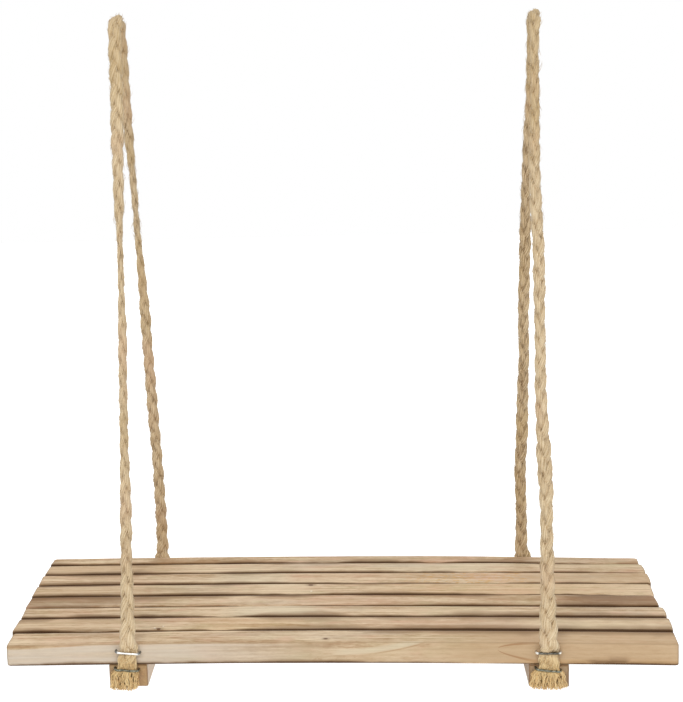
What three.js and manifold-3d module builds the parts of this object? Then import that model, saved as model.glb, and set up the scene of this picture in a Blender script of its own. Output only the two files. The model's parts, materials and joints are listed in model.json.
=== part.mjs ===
// Hanging rope shelf: eight wooden slats nailed to two battens, slung from two rope loops.
// Millimetres, +X to the right, +Y towards the wall, +Z up.
// The origin is midway between the two places where the rope loops rest on their hooks.
import * as THREE from "three";
import { mergeVertices } from "three/addons/utils/BufferGeometryUtils.js";
import Module from "manifold-3d";

const wasm = await Module();
wasm.setup();

// Deck
const deckLength = 704;
const deckDepth = 254;
const slatThickness = 24;
const slatGap = 3;
const slatEdgeRadius = 3;
const slatEndRadius = 3;
const slatEndStagger = 2.5;
const slatEdgeWander = 0.45;
const slatWanderWave = 310;
// One row per slat, from the front to the back
const slatWidthShares = [1.08, 1.11, 0.9, 1, 1.05, 1.03, 0.97, 0.71];
const leftEndShares = [-0.8, 0.1, -0.1, 0.3, 0.6, 0.6, 0.2, 0.1];
const rightEndShares = [0.2, 0.9, 0.8, -0.2, 0.2, 1, 0.5, 0.1];
const slatColours = [0xc7a57c, 0xd0ad88, 0xcaab7e, 0xb3926e, 0xc4a27a, 0xcda984, 0xc2ab8c, 0xc9b195];

// Battens, nailed across the underside of the slats
const battenWidth = 41.5;
const battenHeight = 24.5;
const battenEdgeRadius = 1.2;
const battenSpacing = 441;
const battenColour = 0xb08a5c;

// Nails, driven up through the battens
const nailDiameter = 2.8;
const nailHeadDiameter = 6.4;
const nailHeadThickness = 1.4;
const nailHeadSink = 0.4;
const nailBite = 15;
const nailPointLength = 4;
const nailColour = 0x8d8d8a;

// Ropes: each hangs over a hook and is stapled to the front and the back of the deck
const leftRopeDiameter = 12;
const rightRopeDiameter = 14;
const ropeSpacing = 437;
const hangHeight = 640;
const hookHeightDifference = 10.5;
const bendRadius = 20;
const bendTail = 2;
const lowerPivotRise = 3;
const ropeColour = 0xc2a36d;

// Frayed ends, below the deck's top edge
const frayDrop = 51;
const leftFrayWidth = 37;
const rightFrayWidth = 38;
const frayThickness = 5.5;
const stapledWaistWidth = 20;
const stapledSpreadWidth = 21.5;
const stapleSqueeze = 4.6;

// Staples
const stapleCrown = 28;
const stapleWire = 2.4;
const stapleHeight = 2.2;
const stapleBendRadius = 3;
const stapleBite = 13;
const staplePoint = 2;
const upperStapleDrop = 8.8;
const lowerStapleDrop = 27.8;
const stapleColour = 0xc9ccd0;
const stapleTilt = THREE.MathUtils.degToRad(6);
const stapleTiltShares = { upper_left: 0.7, lower_left: 0.5, upper_right: 0, lower_right: 1 };

// Clearances and facet counts
const seatGap = 0.3;
const cutOverrun = 2;
const mergeTolerance = 1e-4;
const cornerSteps = 3;
const endSteps = 3;
const slatStations = 6;
const ropeSides = 12;
const bendSteps = 14;
const nailSides = 10;

// Worked out from the sizes above
const deckTop = -hangHeight;
const slatUnderside = deckTop - slatThickness;
const battenTop = slatUnderside - seatGap;
const battenUnderside = battenTop - battenHeight;
const frontFace = -deckDepth / 2;
const lowerPivotHeight = deckTop + lowerPivotRise;
const shareSum = slatWidthShares.reduce((sum, share) => sum + share, 0);
const slatWidthUnit = (deckDepth - slatGap * (slatWidthShares.length - 1)) / shareSum;
const nailLength = battenHeight + seatGap + nailBite - nailHeadSink;

const finish = (color, roughness, metalness = 0) =>
  new THREE.MeshStandardMaterial({ color, roughness, metalness });
const woodFinish = (color) => finish(color, 0.8);
const ropeFinish = finish(ropeColour, 0.95);
const stapleFinish = finish(stapleColour, 0.3, 1);
const nailFinish = finish(nailColour, 0.5, 1);

const shelf = new THREE.Group();

function add(name, geometry, material) {
  const mesh = new THREE.Mesh(geometry, material);
  mesh.name = name;
  shelf.add(mesh);
  return mesh;
}

function solidOf(geometry) {
  const bare = geometry.clone();
  bare.deleteAttribute("normal");
  bare.deleteAttribute("uv");
  const merged = mergeVertices(bare, mergeTolerance);
  return new wasm.Manifold(
    new wasm.Mesh({
      numProp: 3,
      vertProperties: merged.attributes.position.array,
      triVerts: new Uint32Array(merged.index.array),
    }),
  );
}

function geometryOf(solid) {
  const mesh = solid.getMesh();
  const geometry = new THREE.BufferGeometry();
  geometry.setAttribute("position", new THREE.BufferAttribute(mesh.vertProperties, mesh.numProp));
  geometry.setIndex(new THREE.BufferAttribute(mesh.triVerts, 1));
  geometry.computeVertexNormals();
  return geometry;
}

function cut(geometry, cutters) {
  const solid = cutters.reduce((left, cutter) => left.subtract(solidOf(cutter)), solidOf(geometry));
  return geometryOf(solid);
}

// A closed skin over rings with equal numbers of points, with a fan over each end ring.
function loft(rings) {
  const count = rings[0].length;
  const middle = (ring) =>
    ring.reduce((sum, point) => sum.add(point), new THREE.Vector3()).divideScalar(count);
  const points = [...rings.flat(), middle(rings[0]), middle(rings.at(-1))];
  const lastRing = (rings.length - 1) * count;
  const startCentre = rings.length * count;
  const index = [];
  for (let i = 0; i < count; i++) {
    const next = (i + 1) % count;
    index.push(startCentre, next, i);
    index.push(startCentre + 1, lastRing + i, lastRing + next);
    for (let ring = 0; ring < lastRing; ring += count) {
      index.push(ring + i, ring + next, ring + count + next);
      index.push(ring + i, ring + count + next, ring + count + i);
    }
  }
  const geometry = new THREE.BufferGeometry().setFromPoints(points);
  geometry.setIndex(index);
  geometry.computeVertexNormals();
  return geometry;
}

// The outline of a rectangle with rounded corners about its own centre, as [across, up] pairs.
function roundedOutline(width, height, radius) {
  const corners = [[1, 1], [-1, 1], [-1, -1], [1, -1]];
  return corners.flatMap(([across, up], corner) =>
    Array.from({ length: cornerSteps + 1 }, (_, step) => {
      const angle = ((corner + step / cornerSteps) * Math.PI) / 2;
      return [
        across * (width / 2 - radius) + radius * Math.cos(angle),
        up * (height / 2 - radius) + radius * Math.sin(angle),
      ];
    }),
  );
}

// Where each slat lies across the deck: its near edge and its width, from the front to the back
function slatPlaces() {
  let near = frontFace;
  return slatWidthShares.map((share) => {
    const width = share * slatWidthUnit;
    const place = { near, width, middle: near + width / 2 };
    near += width + slatGap;
    return place;
  });
}

const slats = slatPlaces();

// One slat: round-edged, rounded at its ends, its inner edges wandering as a sawn edge does.
// The deck's own front and back edges stay straight, because the ropes and battens meet them.
function slatGeometry(number) {
  const { near, width } = slats[number];
  const left = -deckLength / 2 - leftEndShares[number] * slatEndStagger;
  const right = deckLength / 2 + rightEndShares[number] * slatEndStagger;
  const nearWander = number === 0 ? 0 : slatEdgeWander;
  const farWander = number === slats.length - 1 ? 0 : slatEdgeWander;
  const ring = (x, inset) => {
    const phase = (x / slatWanderWave) * 2 * Math.PI;
    const start = near + nearWander * Math.sin(phase + 2 * number);
    const end = near + width + farWander * Math.sin(phase + 2 * number + 1);
    const outline = roundedOutline(end - start - 2 * inset, slatThickness - 2 * inset, slatEdgeRadius - inset);
    return outline.map(
      ([across, up]) => new THREE.Vector3(x, (start + end) / 2 + across, deckTop - slatThickness / 2 + up),
    );
  };
  const endRings = Array.from({ length: endSteps + 1 }, (_, step) => {
    const angle = ((step / endSteps) * Math.PI) / 2;
    return { along: slatEndRadius * (1 - Math.sin(angle)), inset: slatEndRadius * (1 - Math.cos(angle)) };
  }).reverse();
  const inner = Array.from({ length: slatStations - 1 }, (_, station) =>
    ring(THREE.MathUtils.lerp(left, right, (station + 1) / slatStations), 0),
  );
  return loft([
    ...endRings.map(({ along, inset }) => ring(left + along, inset)),
    ...inner,
    ...endRings.map(({ along, inset }) => ring(right - along, inset)).reverse(),
  ]);
}

function battenGeometry(x) {
  const outline = roundedOutline(battenWidth, battenHeight, battenEdgeRadius);
  const ring = (y) => outline.map(([across, up]) => new THREE.Vector3(x + across, y, battenUnderside + battenHeight / 2 + up));
  return loft([ring(-frontFace), ring(frontFace)]);
}

// A nail standing on its head at the underside of a batten, grown on all sides for its hole.
function nailGeometry(x, y, grow = 0) {
  const shank = nailDiameter / 2 + grow;
  const head = nailHeadDiameter / 2 + grow;
  const headBottom = grow > 0 ? -cutOverrun : 0;
  const profile = [
    [0, headBottom],
    [head, headBottom],
    [head, nailHeadThickness + grow],
    [shank, nailHeadThickness + grow],
    [shank, nailLength - nailPointLength],
    [0, nailLength + grow],
  ].map(([radius, height]) => new THREE.Vector2(radius, height));
  const nail = new THREE.LatheGeometry(profile, nailSides);
  nail.rotateX(Math.PI / 2);
  return nail.translate(x, y, battenUnderside + nailHeadSink);
}

// A staple's U outline in its own plane: across the crown, and inwards from the crown's outer face.
function stapleOutline(grow) {
  const half = stapleCrown / 2 + grow;
  const leg = stapleWire + 2 * grow;
  const tip = stapleStandoff + stapleWire + stapleBite + grow;
  const outline = new THREE.Shape();
  outline.moveTo(-half, tip - staplePoint);
  outline.lineTo(-half, stapleBendRadius);
  outline.absarc(-half + stapleBendRadius, stapleBendRadius - grow, stapleBendRadius, Math.PI, 1.5 * Math.PI);
  outline.absarc(half - stapleBendRadius, stapleBendRadius - grow, stapleBendRadius, 1.5 * Math.PI, 2 * Math.PI);
  outline.lineTo(half, tip - staplePoint);
  outline.lineTo(half - leg / 2, tip);
  outline.lineTo(half - leg, tip - staplePoint);
  outline.lineTo(half - leg, stapleWire + grow);
  outline.lineTo(leg - half, stapleWire + grow);
  outline.lineTo(leg - half, tip - staplePoint);
  outline.lineTo(leg / 2 - half, tip);
  outline.closePath();
  return outline;
}

// A staple over a rope at one face of the deck. side is -1 at the front and 1 at the back.
const stapleStandoff = seatGap + stapleSqueeze + seatGap;
function stapleGeometry(x, side, drop, tilt, grow = 0) {
  const staple = new THREE.ExtrudeGeometry(stapleOutline(grow), {
    depth: stapleHeight + 2 * grow,
    bevelEnabled: false,
    curveSegments: cornerSteps,
  });
  staple.translate(0, -stapleStandoff - stapleWire, -stapleHeight / 2 - grow);
  staple.rotateY(tilt);
  if (side > 0) staple.rotateZ(Math.PI);
  return staple.translate(x, side * (deckDepth / 2), deckTop - drop);
}

// The plane of one rope loop: where its bend, its two pivots and its slope lie, for the leg at the back.
function ropePlane(diameter, hookRise) {
  const radius = diameter / 2;
  const bendCentre = hookRise - bendRadius + radius;
  const lower = new THREE.Vector2(deckDepth / 2 + seatGap + radius, lowerPivotHeight);
  const toBend = new THREE.Vector2(lower.x, bendCentre - lower.y);
  const slope = Math.atan2(toBend.x, toBend.y) - Math.asin(bendRadius / toBend.length());
  const tangent = new THREE.Vector2(
    bendRadius * Math.cos(slope),
    bendCentre + bendRadius * Math.sin(slope),
  );
  return { radius, bendCentre, lower, slope, tangent };
}

const ropes = [
  { side: "left", way: -1, diameter: leftRopeDiameter, frayWidth: leftFrayWidth },
  { side: "right", way: 1, diameter: rightRopeDiameter, frayWidth: rightFrayWidth },
].map(({ way, diameter, ...rope }) => ({
  ...rope,
  x: (way * ropeSpacing) / 2,
  battenX: (way * battenSpacing) / 2,
  ...ropePlane(diameter, (-way * hookHeightDifference) / 2),
}));

// Both loops turn about one level, just under the lower of the two bends.
const upperPivotHeight = Math.min(
  ...ropes.map(({ tangent, radius, slope }) => tangent.y - (radius + seatGap) * Math.cos(slope) - bendTail),
);

function upperPivot({ tangent, slope }) {
  return new THREE.Vector2(tangent.x + (tangent.y - upperPivotHeight) * Math.tan(slope), upperPivotHeight);
}

// The rope over the hook: a straight tail, the bend, and the other tail, in a plane of constant x.
class HookBend extends THREE.Curve {
  constructor(rope) {
    super();
    this.rope = rope;
    const { tangent, slope, radius } = rope;
    this.tail = (tangent.y - upperPivotHeight) / Math.cos(slope) - radius - seatGap;
    this.arc = bendRadius * (Math.PI - 2 * slope);
  }

  getPoint(share, target = new THREE.Vector3()) {
    const { x, slope, bendCentre, tangent } = this.rope;
    const run = share * (2 * this.tail + this.arc) - this.tail;
    const beyond = Math.max(-run, run - this.arc, 0);
    const side = run < this.arc / 2 ? -1 : 1;
    if (beyond > 0) {
      return target.set(
        x,
        side * (tangent.x + beyond * Math.sin(slope)),
        tangent.y - beyond * Math.cos(slope),
      );
    }
    const angle = Math.PI - slope - run / bendRadius;
    return target.set(x, bendRadius * Math.cos(angle), bendCentre + bendRadius * Math.sin(angle));
  }
}

function ropeTopGeometry(rope) {
  const section = new THREE.Shape().absarc(0, 0, rope.radius, 0, 2 * Math.PI);
  return new THREE.ExtrudeGeometry(section, {
    extrudePath: new HookBend(rope),
    steps: bendSteps,
    curveSegments: ropeSides / 2,
    bevelEnabled: false,
  });
}

// A leg between its two pivots. Its ends are balls, so that it can turn against the cut faces it meets.
function ropeLegGeometry(rope, side) {
  const upper = upperPivot(rope);
  const run = new THREE.Vector2().subVectors(upper, rope.lower);
  const leg = new THREE.CapsuleGeometry(rope.radius, run.length(), cornerSteps + 1, ropeSides);
  leg.rotateX(Math.PI / 2);
  leg.rotateX(side * rope.slope);
  return leg.translate(rope.x, (side * (upper.x + rope.lower.x)) / 2, (upper.y + rope.lower.y) / 2);
}

// A stapled end: round where the leg stands on it, pinched under both staples, then fanned out and frayed.
function ropeEndGeometry(rope, side) {
  const round = 2 * rope.radius;
  const start = rope.radius + seatGap - lowerPivotRise;
  const between = (upperStapleDrop + lowerStapleDrop) / 2;
  const below = (lowerStapleDrop + frayDrop) / 2;
  const stations = [
    { drop: start, width: round, thickness: round },
    { drop: upperStapleDrop - stapleHeight, width: stapledWaistWidth, thickness: stapleSqueeze },
    { drop: upperStapleDrop + stapleHeight, width: stapledWaistWidth, thickness: stapleSqueeze },
    { drop: between, width: stapledWaistWidth, thickness: (round + stapleSqueeze) / 2 },
    { drop: lowerStapleDrop - stapleHeight, width: stapledSpreadWidth, thickness: stapleSqueeze },
    { drop: lowerStapleDrop + stapleHeight, width: stapledSpreadWidth, thickness: stapleSqueeze },
    { drop: below, width: (stapledSpreadWidth + rope.frayWidth) / 2, thickness: stapleSqueeze },
    { drop: frayDrop, width: rope.frayWidth, thickness: frayThickness },
  ];
  const ring = ({ drop, width, thickness }) =>
    Array.from({ length: ropeSides }, (_, corner) => {
      const angle = (-corner / ropeSides) * 2 * Math.PI;
      return new THREE.Vector3(
        rope.x + (width / 2) * Math.cos(angle),
        side * (deckDepth / 2 + seatGap + thickness / 2) + (thickness / 2) * Math.sin(angle),
        deckTop - drop,
      );
    });
  return loft(stations.map(ring));
}

// The pieces, one mesh each
const faces = [{ face: "front", side: -1 }, { face: "back", side: 1 }];

const staples = ropes.flatMap(({ side: rope, x }) =>
  faces.flatMap(({ face, side }) =>
    [["upper", upperStapleDrop], ["lower", lowerStapleDrop]].map(([level, drop]) => ({
      name: `${rope}_${face}_${level}_staple`,
      rope,
      level,
      side,
      place: [x, side, drop, stapleTilt * stapleTiltShares[`${level}_${rope}`]],
    })),
  ),
);

const nails = ropes.flatMap(({ side: rope, battenX }) =>
  slats.map(({ middle }, number) => ({ name: `${rope}_nail_${number + 1}`, rope, number, x: battenX, y: middle })),
);

slats.forEach((slat, number) => {
  const side = number === 0 ? -1 : number === slats.length - 1 ? 1 : 0;
  const cutters = [
    ...nails.filter((nail) => nail.number === number).map(({ x, y }) => nailGeometry(x, y, seatGap)),
    ...staples
      .filter((staple) => staple.level === "upper" && staple.side === side)
      .map(({ place }) => stapleGeometry(...place, seatGap)),
  ];
  add(`slat_${number + 1}`, cut(slatGeometry(number), cutters), woodFinish(slatColours[number]));
});

ropes.forEach((rope) => {
  const here = ({ rope: side }) => side === rope.side;
  const cutters = [
    ...nails.filter(here).map(({ x, y }) => nailGeometry(x, y, seatGap)),
    ...staples
      .filter((staple) => staple.level === "lower" && here(staple))
      .map(({ place }) => stapleGeometry(...place, seatGap)),
  ];
  add(`${rope.side}_batten`, cut(battenGeometry(rope.battenX), cutters), woodFinish(battenColour));
  add(`${rope.side}_rope_top`, ropeTopGeometry(rope), ropeFinish);
  faces.forEach(({ face, side }) => {
    add(`${rope.side}_rope_${face}_leg`, ropeLegGeometry(rope, side), ropeFinish);
    add(`${rope.side}_rope_${face}_end`, ropeEndGeometry(rope, side), ropeFinish);
  });
});

nails.forEach(({ name, x, y }) => add(name, nailGeometry(x, y), nailFinish));
staples.forEach(({ name, place }) => add(name, stapleGeometry(...place), stapleFinish));

export default shelf;
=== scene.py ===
# Hanging rope shelf: eight worn slats on two battens, slung from two plaited ropes.
# Metres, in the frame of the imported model: +X to the right, +Y towards the wall, +Z up.
import json
import math
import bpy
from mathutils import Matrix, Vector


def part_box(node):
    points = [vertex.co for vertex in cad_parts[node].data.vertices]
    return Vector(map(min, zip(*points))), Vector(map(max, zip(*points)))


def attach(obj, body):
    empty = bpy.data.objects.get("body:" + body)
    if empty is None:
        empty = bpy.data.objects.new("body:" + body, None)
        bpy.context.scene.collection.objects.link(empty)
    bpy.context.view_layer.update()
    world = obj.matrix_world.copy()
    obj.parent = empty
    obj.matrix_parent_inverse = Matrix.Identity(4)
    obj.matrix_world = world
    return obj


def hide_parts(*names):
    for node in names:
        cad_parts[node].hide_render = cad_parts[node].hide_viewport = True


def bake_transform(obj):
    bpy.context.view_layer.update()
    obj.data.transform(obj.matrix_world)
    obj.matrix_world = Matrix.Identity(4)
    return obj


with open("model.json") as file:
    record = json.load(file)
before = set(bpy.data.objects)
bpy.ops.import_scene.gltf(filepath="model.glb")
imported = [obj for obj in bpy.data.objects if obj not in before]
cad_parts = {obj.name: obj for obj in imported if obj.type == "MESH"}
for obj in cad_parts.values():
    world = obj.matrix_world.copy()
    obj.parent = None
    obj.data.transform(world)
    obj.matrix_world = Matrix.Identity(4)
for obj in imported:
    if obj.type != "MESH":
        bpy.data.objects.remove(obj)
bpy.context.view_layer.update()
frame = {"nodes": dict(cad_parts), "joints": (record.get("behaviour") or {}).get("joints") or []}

from types import SimpleNamespace

import bpy
from mathutils import Matrix, Vector

# Camera, from the photograph's picture size and lens
PHOTO_WIDTH = 683
PHOTO_HEIGHT = 702
LENS_PIXELS = 1479.5
LENS_AXIS_PIXEL = (256.2, 252.1)
CAMERA_PLACE = Vector((0.0473, -1.5943, 0.0031))
CAMERA_YAW = math.radians(-4.548)
CAMERA_PITCH = math.radians(8.793)
CAMERA_ROLL = math.radians(-1.937)
SENSOR_MM = 36

# Ropes
ROPE_BEND_RADIUS = 0.020
ROPE_SIDES = {
    "left": {"diameter": 0.012, "pitch": 0.074, "over": 1, "seed": 3, "drift": (0.0, -0.0004, -0.0030)},
    "right": {"diameter": 0.014, "pitch": 0.070, "over": -1, "seed": 8, "drift": (0.0010, 0.0018, 0.0012)},
}
# How wide each leg looks, as shares of its rope's diameter, by height over the lower pivot
LEG_WIDTH_SHARES = {
    "left_front": {
        0: 1.42, 0.05: 1.16, 0.085: 1.0, 0.13: 1.06, 0.17: 0.92, 0.2: 0.76, 0.26: 0.74, 0.32: 0.78,
        0.34: 0.7, 0.36: 0.54, 0.42: 0.5, 0.46: 0.92, 0.5: 0.98, 0.525: 1.16, 0.66: 1.2,
    },
    "left_back": {
        0: 1.3, 0.03: 1.18, 0.09: 1.12, 0.12: 1.04, 0.2: 1.1, 0.26: 1.0, 0.31: 1.06, 0.335: 0.86,
        0.36: 0.8, 0.385: 0.66, 0.41: 0.62, 0.43: 0.52, 0.455: 0.64, 0.48: 0.6, 0.52: 0.9, 0.66: 1.06,
    },
    "right_front": {
        0: 1.4, 0.026: 1.22, 0.056: 1.02, 0.085: 1.02, 0.11: 0.93, 0.13: 0.93, 0.16: 1.08, 0.19: 1.12,
        0.21: 0.95, 0.25: 0.87, 0.3: 0.8, 0.34: 0.8, 0.36: 0.88, 0.42: 0.88, 0.5: 0.82, 0.56: 0.68,
        0.61: 0.68, 0.64: 0.92, 0.66: 0.95,
    },
    "right_back": {
        0: 1.14, 0.02: 1.0, 0.05: 0.92, 0.14: 0.96, 0.165: 1.02, 0.19: 0.95, 0.24: 0.85, 0.3: 0.85,
        0.33: 0.93, 0.36: 0.85, 0.385: 0.92, 0.41: 0.86, 0.44: 0.75, 0.5: 0.7, 0.61: 0.68, 0.64: 0.92,
        0.66: 0.95,
    },
}
# How far each leg stands aside in X, by height over the lower pivot
LEG_SHIFTS = {
    "left_front": {0: 0, 0.3: 0, 0.5: -0.0015, 0.56: -0.0012, 0.66: -0.0027},
    "left_back": {
        0: 0.0008, 0.07: 0.0020, 0.12: 0.0024, 0.2: 0.0014, 0.3: 0.0008, 0.45: -0.001, 0.53: -0.0024,
        0.66: -0.0027,
    },
    "right_front": {
        0: 0.001, 0.05: 0.0009, 0.11: 0.0016, 0.15: 0.0021, 0.18: 0.0012, 0.22: -0.0004, 0.26: -0.0008,
        0.3: 0, 0.36: 0.0003, 0.4: 0.0006, 0.43: -0.001, 0.48: -0.0018, 0.51: -0.001, 0.55: 0.0006,
        0.6: 0.001, 0.66: 0.0042,
    },
    "right_back": {
        0: 0, 0.04: 0, 0.07: -0.001, 0.1: -0.0027, 0.12: -0.0026, 0.15: -0.0012, 0.2: -0.0012,
        0.25: -0.0002, 0.3: -0.0014, 0.4: -0.0008, 0.5: 0.0004, 0.55: 0.0028, 0.6: 0.003, 0.66: 0.0044,
    },
}
LEG_STOPS = 36
BEND_STOPS = 18
GUIDE_STEP = 0.008
ROPE_WANDER = 0.0009
STUB = 0.005
STUB_THINNING = 0.35
FLARE_RUN = 0.06
TAIL_HAIR_SHARE = 5.0
# What every plait has, by the names of its tree's inputs, and what it has as shares of its rope's diameter
PLAIT_SIZES = {
    "Strands": 3, "Step": 0.0022, "Wander Wave": 0.11, "Yarns": 8, "Yarn Sides": 3, "Yarn Groove": 0.11,
    "Yarn Turns": 15, "Hair Density": 46000, "Hair Length": 0.0085, "Hair Rise": 0.11,
    "Hair Radius": 0.00023, "Hair Swing": 0.42, "Hair Tip": 0.30,
}
PLAIT_SHARES = {"Width": 1, "Depth": 0.95, "Strand Radius": 0.29, "Hair Reach": 0.70}

# Stapled and frayed rope ends
UPPER_STAPLE_DROP = 0.0088
LOWER_STAPLE_DROP = 0.0278
FRAY_START_DROP = 0.016
PINCHED_DEPTH = 0.0044
SEAT = 0.0003
OUTWARD = {"front": -1, "back": 1}
FRAY_SIZES = {
    "Fibres": 620, "Steps": 16, "Radius": 0.00034, "Top Depth": PINCHED_DEPTH, "End Depth": 0.0092,
    "Locks": 22.0, "Opening": 0.16, "Wave": 0.0062, "Wave Length": 0.0068, "Rag": 0.06,
}
FRAY_SIDES = {
    ("left", "front"): {"waist": 0.0200, "fan": 0.0300, "lean": -0.0026, "drop": 0.0495, "seed": 11},
    ("left", "back"): {"waist": 0.0195, "fan": 0.0340, "lean": 0.001, "drop": 0.0490, "seed": 12},
    ("right", "front"): {"waist": 0.0210, "fan": 0.0375, "lean": -0.0008, "drop": 0.0480, "seed": 13},
    ("right", "back"): {"waist": 0.0200, "fan": 0.0340, "lean": 0.0015, "drop": 0.0495, "seed": 14},
}

# Staples. Each one's tilt in degrees and its shift in X are the same at the front and at the back.
STAPLE_RADIUS = 0.0012
STAPLE_BEND_RADIUS = 0.0034
STAPLE_BEND_STEPS = 6
STAPLE_BITE = 0.012
STAPLE_STEP = 0.0007
STAPLE_TILTS = {"left_upper": 4.2, "left_lower": 3, "right_upper": 0, "right_lower": 6}
STAPLE_SHIFTS = {"left_upper": -0.0011, "left_lower": -0.0030, "right_upper": 0.001, "right_lower": 0.0009}
STAPLE_WOBBLE = {"upper": 0.0001, "lower": 0.0006}
WOBBLE_WAVE = 0.006
# SHOULDER_REACH is how far in from a staple's ends the painted reflection on its shoulders reaches
SHOULDER_REACH = 0.0042

# Wood. The tables go by the names of the board tree's inputs.
EDGE_WANDER = 0.0007
BOARD_SIZES = {"Wander Wave": 0.10, "Broad Relief": 0.0003, "Fine Relief": 0.00016}
SLAT_SIZES = {
    "Edge Radius": 0.0028, "End Radius": 0.0016, "Bow": 0.00075,
    "Cuts Along": 220, "Cuts Across": 24, "Cuts Down": 18,
}
BATTEN_SIZES = {
    "Edge Radius": 0.0016, "End Radius": 0.0016, "Bow": 0.0, "Bow Reach": 1.0, "Turn": math.pi / 2,
    "Cuts Along": 90, "Cuts Across": 30, "Cuts Down": 20, "Near Wander": 0.0, "Far Wander": 0.0,
}

# Stage and lights
FLOOR_LEVEL = -1.25
FLOOR_SIZE = 14
SHADOW_REACH = 1.5
FLOOR_COLOUR = (0.9, 0.9, 0.9)
WHITE = (1, 1, 1)
SHADOW_GLOW = 0.35
TARGET = Vector((0, 0, -0.42))
WORLD_LEVEL = 0.62
LIGHTS = {
    "key": {"place": Vector((-0.9, -2.4, 1.3)), "size": 1.6, "power": 34},
    "fill": {"place": Vector((1.9, -1.9, 0.2)), "size": 1.8, "power": 16},
    "back": {"place": Vector((0.3, 2.2, 1.2)), "size": 1.6, "power": 16},
    "under": {"place": Vector((0.0, 0.0, -1.15)), "size": 0.3, "power": 2.2},
}

# Shifts that set each noise apart from the others, and each board's wood from the other boards' wood
NOISE_SHIFT = Vector((1.7, 2.9, 4.3))
BOARD_SHIFT = Vector((3.1, 5.7, 1.9))


def colour(red, green, blue):
    """A colour written as the eye sees it, 0 to 255, turned into the light that it gives back."""
    def light(level):
        level /= 255
        return level / 12.92 if level <= 0.04045 else ((level + 0.055) / 1.055) ** 2.4
    return light(red), light(green), light(blue)


class Wire:
    """What comes out of a node. A sum written with wires adds the nodes that work it out."""

    def __init__(self, tree, socket):
        self.tree = tree
        self.socket = socket

    def math(self, operation, *others):
        return self.tree.math(operation, self, *others)

    def part(self, number):
        return self.tree.add("ShaderNodeSeparateXYZ", self, out=number)

    def parts(self):
        return [self.part(number) for number in range(3)]

    def first(self):
        """What comes out first from the same node."""
        return Wire(self.tree, self.socket.node.outputs[0])

    def __add__(self, other):
        return self.math("ADD", other)

    def __sub__(self, other):
        return self.math("SUBTRACT", other)

    def __rsub__(self, other):
        return self.tree.math("SUBTRACT", other, self)

    def __mul__(self, other):
        return self.math("MULTIPLY", other)

    def __truediv__(self, other):
        return self.math("DIVIDE", other)

    __radd__ = __add__
    __rmul__ = __mul__


class Tree:
    """Adds nodes to a node tree and joins them up as they are named."""

    def __init__(self, nodes):
        self.nodes = nodes

    def feed(self, socket, value):
        if isinstance(value, Wire):
            self.nodes.links.new(value.socket, socket)
        elif isinstance(value, list):
            for wire in value:
                self.nodes.links.new(wire.socket, socket)
        elif socket.type == "VECTOR" and isinstance(value, (int, float)):
            socket.default_value = (value, value, value)
        elif socket.type == "RGBA":
            socket.default_value = (*value, 1)
        elif value is not None:
            socket.default_value = value

    def add(self, kind, *values, out=0, named=None, **settings):
        """One node, as its output numbered out. values fill its inputs in order, and named by name."""
        node = self.nodes.nodes.new(kind)
        for name, value in settings.items():
            setattr(node, name, value)
        inputs = [socket for socket in node.inputs if socket.enabled]
        for socket, value in zip(inputs, values):
            self.feed(socket, value)
        for name, value in (named or {}).items():
            self.feed(next(socket for socket in inputs if socket.name == name), value)
        outputs = [socket for socket in node.outputs if socket.enabled]
        return Wire(self, outputs[out])

    def math(self, operation, *values):
        vectors = any(isinstance(value, Wire) and value.socket.type == "VECTOR" for value in values)
        vectors = vectors or any(isinstance(value, (tuple, Vector)) for value in values)
        kind = "ShaderNodeVectorMath" if vectors else "ShaderNodeMath"
        return self.add(kind, *values, operation=operation)

    def vector(self, x=0, y=0, z=0):
        return self.add("ShaderNodeCombineXYZ", x, y, z)

    def noise(self, place, detail=2, roughness=0.5, seed=0):
        """Smooth noise about zero, from -1 to 1, with one wave to each unit of place."""
        shifted = place + NOISE_SHIFT * (seed + 1)
        settings = {"Scale": 1, "Detail": detail, "Roughness": roughness}
        return (self.add("ShaderNodeTexNoise", shifted, named=settings) - 0.5) * 2

    def ramp(self, value, start, end, low=0, high=1):
        """low up to start, high past end, and a smooth rise between them."""
        return self.add("ShaderNodeMapRange", value, start, end, low, high, interpolation_type="SMOOTHSTEP")

    def mix(self, share, first, second, kind="RGBA"):
        return self.add("ShaderNodeMix", share, first, second, data_type=kind)


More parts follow.
